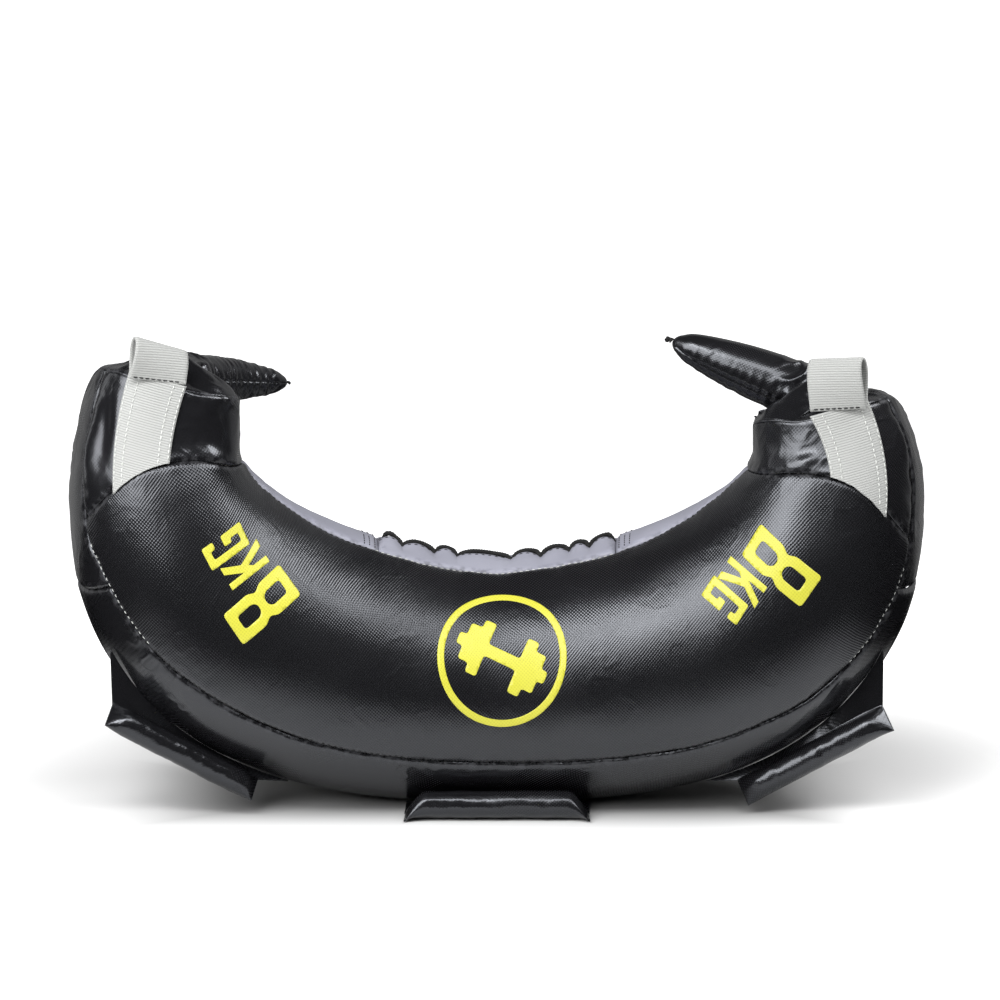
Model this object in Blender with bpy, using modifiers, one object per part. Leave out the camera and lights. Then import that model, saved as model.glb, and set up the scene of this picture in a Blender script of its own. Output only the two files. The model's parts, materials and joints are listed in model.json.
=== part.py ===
"""Bulgarian bag: a crescent of coated fabric filled with sand bags, standing on its outer curve.

Metres, +Z up. +X runs along the bag, -Y is its front, and z = 0 is the floor under it.
The tube is drawn flat, in the XZ plane, and then wrapped a little forwards round a body.
"""

import bisect
import math
from dataclasses import dataclass
from functools import partial

import bmesh
import bpy
from mathutils import Matrix, Vector

# Fabric, cord and clearances
SKIN = 0.0012
GRIP_FABRIC = 0.0006
WEBBING = 0.0016
WEBBING_WIDTH = 0.040
LACE_DIAMETER = 0.0026
CLEARANCE = 0.0004
SEAM_GAP = 0.0013
FILL_CLEARANCE = 0.0014

# Crescent seen from the front: an outer and an inner superellipse, each to its own shoulder
OUTER_HALF_SPAN = 0.2790
OUTER_SHOULDER = 0.2040
OUTER_POWER = 2.4
INNER_HALF_SPAN = 0.1690
INNER_SHOULDER = 0.2360
INNER_POWER = 1.62
TUBE_DIAMETER = 0.1640
INNER_LEAD = 0.66
WRAP_RADIUS = 0.840

# Half-depths, front to back, at shares of the arc from the bottom to a shoulder
DEPTH_SHARES = (0.0, 0.55, 0.80, 0.97, 1.10, 1.35)
MID_DEPTH = 0.0820
QUARTER_DEPTH = 0.0820
FLANK_DEPTH = 0.0740
SHOULDER_DEPTH = 0.0620
NECK_DEPTH = 0.0500
RIM_DEPTH = 0.0410

# How square a section is at the same shares: 2 is an ellipse
SQUARENESS = (2.0, 2.0, 2.1, 2.3, 2.6, 3.0)

# The weight presses a flat patch into the bottom
FLOOR_SINK = 0.0025

# Seams: the outer gusset's half-angle and the neck band's half-angle, at shares of the same arc
GUSSET_SHARES = (0.0, 0.60, 0.85, 0.95, 1.05, 1.35)
GUSSET_HALF_ANGLES = (62.0, 62.0, 56.0, 43.0, 27.0, 18.0)
NECK_SHARES = (0.0, 0.45, 0.75, 1.05)
NECK_HALF_ANGLES = (20.0, 18.0, 12.0, 7.0)
GUSSET_SPLIT_SHARE = 0.88

# Laced closure in the middle of the neck band
CLOSURE_HALF_LENGTH = 0.092
SLIT_HALF_WIDTH = 0.0016
EYELETS = 7
EYELET_PITCH = 0.024
EYELET_RADIUS = 0.0022
EYELET_OFFSET = 0.0062
LACE_TAIL_SHARE = 1.6
LACE_CORNER_SHARE = 0.25

# Sand bags and stuffing
CENTRE_BAG_SHARE = 0.44
SIDE_BAG_SHARE = 0.90
BAG_GAP = 0.0008
STUFFING_SINK = 0.012
STUFFING_HEADROOM = 0.010
SACK_END_POWER = 8
LACE_ROOM_SHARE = 0.90
LACE_ROOM_EASE_SHARE = 0.08

# Horn grips: radii along the stuffed sleeve
HORN_LENGTH = 0.100
HORN_ROOT_RADIUS = 0.0175
HORN_SHARES = (0.0, 0.22, 0.40, 0.53, 0.67, 0.80, 0.90, 0.97)
HORN_WAIST_RADIUS = 0.0168
HORN_MIDDLE_RADIUS = 0.0158
HORN_HAND_RADIUS = 0.0146
HORN_UPPER_RADIUS = 0.0128
HORN_NARROW_RADIUS = 0.0106
HORN_NECK_RADIUS = 0.0082
HORN_END_RADIUS = 0.0046
HORN_MOUTH_ANGLE = 32.0
SOCKET_HALF_ANGLE = 50.0
SOCKET_GAP = 0.0007
CAP_RISE = 0.010
CAP_LEAST_RISE = 0.0010
TIE_RADIUS = 0.0024
TIE_LENGTH = 0.0060
TIE_ROUND_POWER = 0.7
TIE_WAIST_SHARE = 0.35
HORN_ROOT_ROWS_SHARE = 0.3

# Hand loops of webbing
LOOP_FRONT_ANGLE = 112.0
LOOP_BACK_ANGLE = 58.0
LOOP_SEAT = 0.0005
LOOP_OPEN_SHARE = 0.008
LOOP_FULLNESS = 0.65

# Outer grips: a fabric flap with a stuffed tube along its edge
GRIP_LENGTH = 0.108
CENTRE_GRIP_LENGTH = 0.120
GRIP_WEB = 0.006
GRIP_TUBE_RADIUS = 0.0088
GRIP_SEAT = 0.0003
GRIP_LAYER_GAP = 0.0003
GRIP_REACH_SHARE = 0.60
GRIP_SEAM_ANGLE = 74.0
GRIP_WEB_SHARE = 0.15
CENTRE_WEB = 0.027
CENTRE_SEAM_Y = -0.027
FLOOR_CLEARANCE = 0.0003

# Cuts, welds and limits
CUT_OVERRUN = 0.0042
WELD_DISTANCE = 0.00001
SHARP_ANGLE = 40.0
FACE_LIMIT_SHARE = 0.98
SEAM_PASSES = 6

# Mesh density, and how far the outline runs past the rim
CURVE_SAMPLES = 400
PATH_STEPS = 160
NECK_OVERRUN = 1.6
PANEL_STEPS = (30, 7)
GUSSET_STEPS = (24, 9)
END_STEPS = (6, 7)
NECK_STEPS = (11, 3)
FLAP_STEPS = (20, 3)
CAP_STEPS = (4, 24)
STRAP_STEPS = (6, 4)
LOOP_STEPS = (2, 22)
HORN_STEPS = (16, 12)
GRIP_STEPS = (6, 18)
SACK_ROUND_STEPS = 20
CENTRE_SACK_STEPS = 12
SIDE_SACK_STEPS = 10
STUFFING_STEPS = 8
TIE_STEPS = (8, 8)
EYELET_SIDES = 8
CORD_SMOOTHNESS = 1
GRIP_STUFFING_SMOOTHNESS = 4


@dataclass(frozen=True)
class End:
    """One end of the crescent, where left and right differ a little."""

    name: str
    sign: int
    outer_rim: float
    outer_lean: float
    inner_rim: float
    seam_height: float
    seam_slope: float
    seam_curve: float
    rim_back_drop: float
    strap_top: float
    strap_bottom: float
    loop_tilt: float
    loop_height: float
    horn_inset: float
    horn_depth: float
    horn_height: float
    horn_start: tuple
    horn_finish: tuple
    horn_mean_lift: float
    grip_tilt: float


LEFT = End(
    name="left",
    sign=-1,
    outer_rim=0.294,
    outer_lean=0.019,
    inner_rim=0.271,
    seam_height=0.016,
    seam_slope=0.002,
    seam_curve=0.024,
    rim_back_drop=0.037,
    strap_top=0.0174,
    strap_bottom=0.022,
    loop_tilt=8.0,
    loop_height=0.026,
    horn_inset=0.072,
    horn_depth=0.008,
    horn_height=0.2815,
    horn_start=(0.45, 0.88, -0.08),
    horn_finish=(0.85, 0.52, -0.12),
    horn_mean_lift=32.0,
    grip_tilt=50.0,
)
RIGHT = End(
    name="right",
    sign=1,
    outer_rim=0.275,
    outer_lean=0.021,
    inner_rim=0.252,
    seam_height=0.005,
    seam_slope=0.008,
    seam_curve=0.020,
    rim_back_drop=0.015,
    strap_top=0.0186,
    strap_bottom=0.024,
    loop_tilt=5.0,
    loop_height=0.032,
    horn_inset=0.072,
    horn_depth=0.008,
    horn_height=0.2705,
    horn_start=(-0.90, 0.25, 0.33),
    horn_finish=(-0.95, 0.12, 0.27),
    horn_mean_lift=32.0,
    grip_tilt=28.0,
)
ENDS = (LEFT, RIGHT)

# Colours of the pieces: base colour, roughness, metallic
COATED_BLACK = ((0.016, 0.016, 0.018, 1.0), 0.32, 0.0)
NECK_GREY = ((0.40, 0.40, 0.47, 1.0), 0.55, 0.0)
WEBBING_GREY = ((0.62, 0.63, 0.61, 1.0), 0.85, 0.0)
CORD_BLACK = ((0.012, 0.012, 0.012, 1.0), 0.80, 0.0)
SACK_CLOTH = ((0.36, 0.34, 0.30, 1.0), 0.95, 0.0)
STUFFING_WHITE = ((0.72, 0.70, 0.66, 1.0), 1.0, 0.0)


def powered(value, power):
    """A value raised to a power with its sign kept."""
    return math.copysign(abs(value) ** power, value)


def smooth(share):
    """0 to 1 with level ends."""
    share = min(max(share, 0.0), 1.0)
    return share * share * (3.0 - 2.0 * share)


def keyed(shares, values, at):
    """The value at a share, on a smooth curve through the keys."""
    at = min(max(at, shares[0]), shares[-1])
    last = len(shares) - 2
    i = next((k for k in range(last) if at < shares[k + 1]), last)

    def slope(k):
        low, high = max(k - 1, 0), min(k + 1, len(shares) - 1)
        return (values[high] - values[low]) / (shares[high] - shares[low])

    span = shares[i + 1] - shares[i]
    t = (at - shares[i]) / span
    return (
        values[i] * (2 * t**3 - 3 * t**2 + 1)
        + values[i + 1] * (3 * t**2 - 2 * t**3)
        + span * slope(i) * (t**3 - 2 * t**2 + t)
        + span * slope(i + 1) * (t**3 - t**2)
    )


def end_of(reach):
    """The end that a place along the tube belongs to."""
    return LEFT if reach < 0 else RIGHT


def quarter_curve(half_span, low, high, power):
    """Points (x, z) of a quarter superellipse from the bottom to its shoulder, evenly spaced."""
    points = []
    for i in range(CURVE_SAMPLES + 1):
        turn = math.pi / 2 * smooth(i / CURVE_SAMPLES)
        x = half_span * powered(math.sin(turn), 2 / power)
        z = high - (high - low) * powered(math.cos(turn), 2 / power)
        points.append((x, z))
    return points


def arc_lengths(points):
    """Length along a line of points, from its start to each of them."""
    lengths = [0.0]
    for (x0, z0), (x1, z1) in zip(points, points[1:]):
        lengths.append(lengths[-1] + math.hypot(x1 - x0, z1 - z0))
    return lengths


def at_length(lengths, values, far):
    """The pair of values at a length along a line, between the nearest two."""
    high = min(max(bisect.bisect_left(lengths, far), 1), len(lengths) - 1)
    low = high - 1
    t = (far - lengths[low]) / (lengths[high] - lengths[low])
    return tuple(a + (b - a) * t for a, b in zip(values[low], values[high]))


def half_crescent(end):
    """Outer and inner points of one half, section by section, with lengths along its middle line."""
    outer = quarter_curve(OUTER_HALF_SPAN, -FLOOR_SINK, OUTER_SHOULDER, OUTER_POWER)
    inner = quarter_curve(
        INNER_HALF_SPAN, TUBE_DIAMETER - FLOOR_SINK, INNER_SHOULDER, INNER_POWER
    )
    outer_lengths, inner_lengths = arc_lengths(outer), arc_lengths(inner)
    pairs = []
    for i in range(PATH_STEPS + 1):
        share = i / PATH_STEPS
        x0, z0 = at_length(outer_lengths, outer, share * outer_lengths[-1])
        x1, z1 = at_length(inner_lengths, inner, share**INNER_LEAD * inner_lengths[-1])
        pairs.append((x0, z0, x1, z1))
    for i in range(1, PATH_STEPS + 1):
        share = i / PATH_STEPS * NECK_OVERRUN
        x0 = OUTER_HALF_SPAN - end.outer_lean * share**2
        z0 = OUTER_SHOULDER + (end.outer_rim - OUTER_SHOULDER) * share
        z1 = INNER_SHOULDER + (end.inner_rim - INNER_SHOULDER) * share
        pairs.append((x0, z0, INNER_HALF_SPAN, z1))
    middle = [((x0 + x1) / 2, (z0 + z1) / 2) for x0, z0, x1, z1 in pairs]
    lengths = arc_lengths(middle)
    rim = PATH_STEPS + round(PATH_STEPS / NECK_OVERRUN)
    return pairs, lengths, lengths[rim]


HALVES = {end.name: half_crescent(end) for end in ENDS}
ARC = HALVES["left"][1][PATH_STEPS]


def crescent_at(reach):
    """Outer and inner point of the crescent's outline at a place along its middle line."""
    end = end_of(reach)
    pairs, lengths, _ = HALVES[end.name]
    x0, z0, x1, z1 = at_length(lengths, pairs, min(abs(reach), lengths[-1]))
    return Vector((end.sign * x0, 0.0, z0)), Vector((end.sign * x1, 0.0, z1))


def frame_at(reach):
    """Centre of a section, direction along the tube from left to right, and outward direction."""
    outer, inner = crescent_at(reach)
    outward = (outer - inner).normalized()
    along = Vector((-outward.z, 0.0, outward.x))
    return (outer + inner) / 2, along, outward


def section(reach):
    """Half-width, half-depth and squareness of the tube's section."""
    outer, inner = crescent_at(reach)
    at = abs(reach) / ARC
    depths = (MID_DEPTH, QUARTER_DEPTH, FLANK_DEPTH, SHOULDER_DEPTH, NECK_DEPTH, RIM_DEPTH)
    return (
        (outer - inner).length / 2,
        keyed(DEPTH_SHARES, depths, at),
        keyed(DEPTH_SHARES, SQUARENESS, at),
    )


def wrapped(flat):
    """A point of the flat crescent, wrapped forwards about an upright axis in front of it."""
    turn = flat.x / WRAP_RADIUS
    radius = WRAP_RADIUS + flat.y
    return Vector((radius * math.sin(turn), radius * math.cos(turn) - WRAP_RADIUS, flat.z))


def wrapped_direction(flat, direction):
    """A direction at a point of the flat crescent, turned with it."""
    return Matrix.Rotation(-flat.x / WRAP_RADIUS, 3, "Z") @ Vector(direction)


def body_point(reach, angle, inset=0.0):
    """Point of the bag's surface: angle 0 is the front, 90 the outer curve, -90 the neck."""
    centre, _, outward = frame_at(reach)
    width, depth, square = section(reach)
    across = (width - inset) * powered(math.sin(angle), 2 / square)
    ahead = (depth - inset) * powered(math.cos(angle), 2 / square)
    point = wrapped(centre + outward * across + Vector((0.0, -ahead, 0.0)))
    point.z = max(point.z, inset)
    return point


def gusset_angle(reach):
    """Angle of the seam between the front panel and the outer gusset."""
    return math.radians(90 - keyed(GUSSET_SHARES, GUSSET_HALF_ANGLES, abs(reach) / ARC))


def neck_angle(reach):
    """Angle of the seam between the front panel and the neck band."""
    return math.radians(keyed(NECK_SHARES, NECK_HALF_ANGLES, abs(reach) / ARC) - 90)


def end_seam(end, angle):
    """Place along the tube of the seam where the end panels start."""
    across = math.sin(angle)
    drop = end.seam_slope * across + end.seam_curve * across**2
    return end.sign * (ARC + end.seam_height - drop)


def rim_seam(end, angle):
    """Place along the tube of the end's top edge."""
    back = (1 - math.cos(angle)) / 2
    return end.sign * (HALVES[end.name][2] - end.rim_back_drop * back)


def lerp(a, b, t):
    """A value between two others."""
    return a + (b - a) * t


def make_material(name, look):
    """A Principled material from its base colour, roughness and metallic value."""
    colour, roughness, metallic = look
    material = bpy.data.materials.new(name)
    material.use_nodes = True
    shader = material.node_tree.nodes["Principled BSDF"]
    shader.inputs["Base Color"].default_value = colour
    shader.inputs["Roughness"].default_value = roughness
    shader.inputs["Metallic"].default_value = metallic
    material.diffuse_color = colour
    return material


def add_object(name, mesh, look):
    """The mesh as an object of the bag, shaded smooth, with its own material."""
    mesh.materials.append(make_material(name, look))
    mesh.shade_smooth()
    mesh.set_sharp_from_angle(angle=math.radians(SHARP_ANGLE))
    obj = bpy.data.objects.new(name, mesh)
    bpy.data.collections["bulgarian_bag"].objects.link(obj)
    return obj


def move_origin(obj, origin):
    """Puts an object's origin on its joint's axis, with its shape where it is."""
    obj.data.transform(Matrix.Translation(-origin))
    obj.location = origin


def mapped_grid(name, place, steps, look, thickness=0.0, closed=False, inwards=True):
    """A grid of faces placed by place(u, v), then thickened, or closed round where it meets itself."""
    bm = bmesh.new()
    bmesh.ops.create_grid(bm, x_segments=steps[0], y_segments=steps[1], size=0.5)
    for vert in bm.verts:
        vert.co = place(vert.co.x + 0.5, vert.co.y + 0.5)
    if closed:
        bmesh.ops.remove_doubles(bm, verts=bm.verts, dist=WELD_DISTANCE)
    if not thickness:
        bmesh.ops.recalc_face_normals(bm, faces=bm.faces)
    mesh = bpy.data.meshes.new(name)
    bm.to_mesh(mesh)
    bm.free()
    obj = add_object(name, mesh, look)
    if thickness:
        solidify = obj.modifiers.new("Thickness", "SOLIDIFY")
        solidify.thickness = thickness
        solidify.offset = 1.0 if inwards else -1.0
    return obj


def panel(name, reaches, angles, steps, look=COATED_BLACK):
    """A fabric panel of the bag: its edges are seams, each given as a function of the other place."""
    first, last = reaches
    upper, lower = angles

    def place(u, v):
        angle = lerp(upper(0.0), lower(0.0), v)
        reach = 0.0
        for _ in range(SEAM_PASSES):
            start = first(angle) + SEAM_GAP / 2
            stop = last(angle) - SEAM_GAP / 2
            reach = lerp(start, stop, u)
            trim = SEAM_GAP / 2 / section(reach)[0]
            angle = lerp(upper(reach) + trim, lower(reach) - trim, v)
        return body_point(reach, angle)

    return mapped_grid(name, place, steps, look, thickness=SKIN)


def constant(value):
    """A seam at a fixed place."""
    return lambda _: value


def back_of(angle):
    """The angle behind the bag that mirrors one at its front."""
    return math.pi - angle


def back_gusset_angle(reach):
    """Angle of the seam between the back panel and the outer gusset."""
    return back_of(gusset_angle(reach))


def back_neck_angle(reach):
    """Angle of the seam between the back panel and the neck band, past the outer curve."""
    return back_of(neck_angle(reach))


def band_back_angle(reach):
    """The same seam, counted from the front past the neck."""
    return -math.pi - neck_angle(reach)


def end_reaches(end, seam, rim):
    """The two seams that bound a panel of one end, from left to right."""
    return (rim, seam) if end.sign < 0 else (seam, rim)


def make_panels():
    """The coated panels, the outer gusset and the grey neck band."""
    half_pi = math.pi / 2
    split = GUSSET_SPLIT_SHARE * ARC
    seams = (partial(end_seam, LEFT), partial(end_seam, RIGHT))
    panel("front_panel", seams, (neck_angle, gusset_angle), PANEL_STEPS)
    panel("back_panel", seams, (back_gusset_angle, back_neck_angle), PANEL_STEPS)
    across = (gusset_angle, back_gusset_angle)
    panel("bottom_gusset", (constant(-split), constant(split)), across, GUSSET_STEPS)
    for end in ENDS:
        rim = partial(rim_seam, end)
        panel(end.name + "_gusset", end_reaches(end, constant(end.sign * split), rim), across, END_STEPS)
        reaches = end_reaches(end, partial(end_seam, end), rim)
        front_angles = (constant(-half_pi), gusset_angle)
        back_angles = (back_gusset_angle, constant(3 * half_pi))
        panel(end.name + "_end_front_panel", reaches, front_angles, END_STEPS)
        panel(end.name + "_end_back_panel", reaches, back_angles, END_STEPS)
    make_neck_band()


def make_neck_band():
    """The grey band along the neck: a smooth piece at each end and two laced flaps between."""
    half_pi = math.pi / 2
    for end in ENDS:
        near = constant(end.sign * CLOSURE_HALF_LENGTH)
        far = constant(end_seam(end, -half_pi))
        reaches = end_reaches(end, near, far)
        panel(
            end.name + "_neck_panel", reaches, (band_back_angle, neck_angle), NECK_STEPS, NECK_GREY
        )
    length = (constant(-CLOSURE_HALF_LENGTH), constant(CLOSURE_HALF_LENGTH))
    slit = SLIT_HALF_WIDTH / MID_DEPTH
    front = panel(
        "front_closure_flap", length, (constant(slit - half_pi), neck_angle), FLAP_STEPS, NECK_GREY
    )
    back = panel(
        "back_closure_flap",
        length,
        (band_back_angle, constant(-slit - half_pi)),
        FLAP_STEPS,
        NECK_GREY,
    )
    for i in range(EYELETS):
        cut_hole(front, eyelet(i, front=True))
        cut_hole(back, eyelet(i, front=False))


def eyelet(index, front):
    """Centre of a lace hole: those of the back flap lie half a pitch further on."""
    first = -EYELET_PITCH * (EYELETS - 0.5) / 2
    reach = first + EYELET_PITCH * (index + (0.0 if front else 0.5))
    side = 1 if front else -1
    return body_point(reach, side * EYELET_OFFSET / MID_DEPTH - math.pi / 2)


def cut_hole(obj, centre):
    """Cuts a small upright hole through a flap."""
    bm = bmesh.new()
    bmesh.ops.create_cone(
        bm,
        cap_ends=True,
        segments=EYELET_SIDES,
        radius1=EYELET_RADIUS,
        radius2=EYELET_RADIUS,
        depth=SKIN + 2 * CUT_OVERRUN,
    )
    mesh = bpy.data.meshes.new(obj.name + "_eyelet")
    bm.to_mesh(mesh)
    bm.free()
    cutter = bpy.data.objects.new(mesh.name, mesh)
    bpy.data.collections["cutters"].objects.link(cutter)
    cutter.location = centre
    cutter.display_type = "WIRE"
    cutter.hide_render = True
    cut = obj.modifiers.new("Eyelet", "BOOLEAN")
    cut.operation = "DIFFERENCE"
    cut.object = cutter


def make_cord(name, points, diameter, look, smoothness=CORD_SMOOTHNESS):
    """A round cord through the points."""
    curve = bpy.data.curves.new(name, "CURVE")
    curve.dimensions = "3D"
    curve.bevel_depth = diameter / 2
    curve.bevel_resolution = smoothness
    curve.use_fill_caps = True
    spline = curve.splines.new("POLY")
    spline.points.add(len(points) - 1)
    for target, point in zip(spline.points, points):
        target.co = (*point, 1.0)
    curve.materials.append(make_material(name, look))
    obj = bpy.data.objects.new(name, curve)
    bpy.data.collections["bulgarian_bag"].objects.link(obj)
    return obj


def make_lace():
    """The lace winds round both flap edges: over the slit, down one flap's hole and up the other's."""
    off = LACE_DIAMETER / 2 + CLEARANCE
    above = Vector((0.0, 0.0, off))
    below = Vector((0.0, 0.0, -off - SKIN))
    turn = LACE_DIAMETER / 2
    tail = below * LACE_TAIL_SHARE
    points = [eyelet(0, True) + tail]
    for i in range(EYELETS):
        for front in (True, False):
            hole = eyelet(i, front)
            other = eyelet(i, False) if front else eyelet(min(i + 1, EYELETS - 1), True)
            if not front and i == EYELETS - 1:
                points += [hole + above, hole + tail]
                break
            level = above if front else below
            start, stop = hole + level, other + level
            ahead = (stop - start).normalized() * turn
            corner = ahead * LACE_CORNER_SHARE
            points += [start + corner, start + ahead, stop - ahead, stop - corner]
    return make_cord("closure_lace", points, LACE_DIAMETER, CORD_BLACK)


def sack(name, low, high, look, rings):
    """A filled bag between two places along the tube, just inside the skin, with rounded ends."""
    inset = SKIN + FILL_CLEARANCE
    room = LACE_DIAMETER + 2 * CLEARANCE + SKIN
    closure = CLOSURE_HALF_LENGTH + EYELET_PITCH

    def place(u, v):
        share = (1 - math.cos(math.pi * u)) / 2
        fullness = max(1 - abs(2 * share - 1) ** SACK_END_POWER, 0.0) ** (1 / SACK_END_POWER)
        angle = lerp(-math.pi / 2, 3 * math.pi / 2, v % 1.0)
        reach = lerp(low, high, share)
        width, depth, _ = section(reach)
        under = smooth((closure - abs(reach)) / EYELET_PITCH)
        under *= smooth((-math.sin(angle) - LACE_ROOM_SHARE) / LACE_ROOM_EASE_SHARE)
        hollow = inset + room * under
        middle = frame_at(reach)[0]
        outer = body_point(reach, angle, hollow)
        return wrapped(middle).lerp(outer, fullness)

    return mapped_grid(name, place, (rings, SACK_ROUND_STEPS), look, closed=True)


def make_fill():
    """Three sand bags and a ball of stuffing in each end."""
    centre = CENTRE_BAG_SHARE * ARC
    side = SIDE_BAG_SHARE * ARC
    gap = BAG_GAP / 2
    sack("centre_sand_bag", -centre + gap, centre - gap, SACK_CLOTH, CENTRE_SACK_STEPS)
    sack("left_sand_bag", -side + gap, -centre - gap, SACK_CLOTH, SIDE_SACK_STEPS)
    sack("right_sand_bag", centre + gap, side - gap, SACK_CLOTH, SIDE_SACK_STEPS)
    for end in ENDS:
        top = stuffing_top(end)
        low, high = sorted((end.sign * (side + gap), end.sign * top))
        sack(end.name + "_end_stuffing", low, high, STUFFING_WHITE, STUFFING_STEPS)


def stuffing_top(end):
    """Place along the tube where the end's stuffing stops, under the horn's root and the cap."""
    shoulder = (OUTER_SHOULDER + INNER_SHOULDER) / 2
    rim = (end.outer_rim + end.inner_rim) / 2
    low = min(end.horn_height - HORN_ROOT_RADIUS - STUFFING_SINK, rim - STUFFING_HEADROOM)
    return ARC + (HALVES[end.name][2] - ARC) * (low - shoulder) / (rim - shoulder)


def horn_pivot(end):
    """Centre of the ball at the horn's root, on its joint's axis."""
    side = OUTER_HALF_SPAN - end.horn_inset
    return wrapped(Vector((end.sign * side, end.horn_depth, end.horn_height)))


def horn_axis(end):
    """Level axis that the horn folds about: a positive turn lifts it."""
    start = Vector(end.horn_start)
    return Vector((start.y, -start.x, 0.0)).normalized()


def horn_spine(end, share):
    """Point and direction of the horn's middle line."""
    start = Vector(end.horn_start).normalized()
    finish = Vector(end.horn_finish).normalized()
    point = horn_pivot(end) + HORN_LENGTH * (start * share + (finish - start) * share**2 / 2)
    return point, start.lerp(finish, share).normalized()


def horn_radius(share, inset=0.0):
    """Outer radius of the horn, down to nothing at its tip."""
    radii = (
        HORN_ROOT_RADIUS,
        HORN_WAIST_RADIUS,
        HORN_MIDDLE_RADIUS,
        HORN_HAND_RADIUS,
        HORN_UPPER_RADIUS,
        HORN_NARROW_RADIUS,
        HORN_NECK_RADIUS,
        HORN_END_RADIUS,
    )
    tip = 1.0 - inset / HORN_LENGTH
    if share >= HORN_SHARES[-1]:
        left = max((tip - share) / (tip - HORN_SHARES[-1]), 0.0)
        return max(radii[-1] - inset, 0.0) * math.sqrt(left)
    return keyed(HORN_SHARES, radii, share) - inset


def horn_place(end, inset, mouth, length):
    """Maps (u, v) to the horn: a ball round the root, then the taper. The mouth angle opens the ball."""
    pivot = horn_pivot(end)
    ball = HORN_ROOT_RADIUS - inset
    side = horn_axis(end)

    def place(u, v):
        turn = 2 * math.pi * (v % 1.0)
        if u < HORN_ROOT_ROWS_SHARE:
            polar = lerp(math.radians(mouth), math.pi / 2, u / HORN_ROOT_ROWS_SHARE)
            along = Vector(end.horn_start).normalized()
            up = side.cross(along)
            spoke = side * math.cos(turn) + up * math.sin(turn)
            return pivot + ball * (spoke * math.sin(polar) - along * math.cos(polar))
        rows = (u - HORN_ROOT_ROWS_SHARE) / (1 - HORN_ROOT_ROWS_SHARE)
        share = length * math.sin(rows * math.pi / 2)
        point, along = horn_spine(end, share)
        up = side.cross(along).normalized()
        across = along.cross(up)
        spoke = across * math.cos(turn) + up * math.sin(turn)
        return point + spoke * horn_radius(share, inset)

    return place


def make_horn(end):
    """The stuffed horn grip that folds at the shoulder: sleeve, stuffing and tied tip."""
    pivot = horn_pivot(end)
    sleeve = mapped_grid(
        end.name + "_horn_sleeve",
        horn_place(end, 0.0, HORN_MOUTH_ANGLE, 1.0),
        HORN_STEPS,
        COATED_BLACK,
        thickness=SKIN,
        closed=True,
        inwards=False,
    )
    inset = SKIN + FILL_CLEARANCE
    core = mapped_grid(
        end.name + "_horn_stuffing",
        horn_place(end, inset, 0.0, 1.0 - inset / HORN_LENGTH),
        HORN_STEPS,
        STUFFING_WHITE,
        closed=True,
    )
    tip, along = horn_spine(end, 1.0)
    side = horn_axis(end)

    def knot(u, v):
        turn = 2 * math.pi * (v % 1.0)
        reach = TIE_LENGTH * (1 - math.cos(math.pi * u)) / 2
        waist = 1 - TIE_WAIST_SHARE * math.sin(2 * math.pi * u)
        radius = TIE_RADIUS * math.sin(math.pi * u) ** TIE_ROUND_POWER * waist
        up = side.cross(along).normalized()
        across = along.cross(up)
        spoke = across * math.cos(turn) + up * math.sin(turn)
        return tip + along * (CLEARANCE + reach) + spoke * max(radius, 0.0)

    tie = mapped_grid(end.name + "_horn_tie", knot, TIE_STEPS, CORD_BLACK, closed=True)
    for obj in (sleeve, core, tie):
        move_origin(obj, pivot)


def socket_direction(end):
    """Direction from the ball to the middle of its socket: away from the horn's mean direction."""
    start = Vector(end.horn_start).normalized()
    lift = Matrix.Rotation(math.radians(end.horn_mean_lift), 3, horn_axis(end))
    return -(lift @ start)


def make_cap(end):
    """The fabric that closes the end, from its rim to the socket round the horn's root."""
    pivot = horn_pivot(end)
    axis = socket_direction(end)
    radius = HORN_ROOT_RADIUS + SOCKET_GAP
    ring_radius = radius * math.sin(math.radians(SOCKET_HALF_ANGLE))
    ring_centre = pivot + axis * radius * math.cos(math.radians(SOCKET_HALF_ANGLE))
    away = -Vector((end.horn_start[0], end.horn_start[1], 0.0)).normalized()

    def place(u, v):
        angle = lerp(-math.pi, math.pi, v % 1.0)
        rim = body_point(rim_seam(end, angle), angle) + Vector((0.0, 0.0, SKIN + 2 * CLEARANCE))
        toward = rim - ring_centre
        spoke = (toward - axis * toward.dot(axis)).normalized()
        ring = ring_centre + spoke * ring_radius
        flat = Vector((toward.x, toward.y, 0.0)).normalized()
        lift = lerp(CAP_LEAST_RISE, CAP_RISE, (1 + flat.dot(away)) / 2)
        middle = (rim + ring) / 2 + Vector((0.0, 0.0, lift))
        return rim * (1 - u) ** 2 + middle * 2 * u * (1 - u) + ring * u**2

    return mapped_grid(
        end.name + "_shoulder_cap",
        place,
        CAP_STEPS,
        COATED_BLACK,
        thickness=SKIN,
        closed=True,
        inwards=end.sign > 0,
    )


def face_point(end, reach, offset, proud, back=False):
    """Point of the end's front or back face, at an offset outwards from its middle line."""
    centre, _, outward = frame_at(reach)
    width, depth, square = section(reach)
    share = min(abs(offset) / (width + proud), FACE_LIMIT_SHARE)
    ahead = (depth + proud) * (1 - share**square) ** (1 / square)
    return wrapped(centre + outward * offset + Vector((0.0, ahead if back else -ahead, 0.0)))


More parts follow.
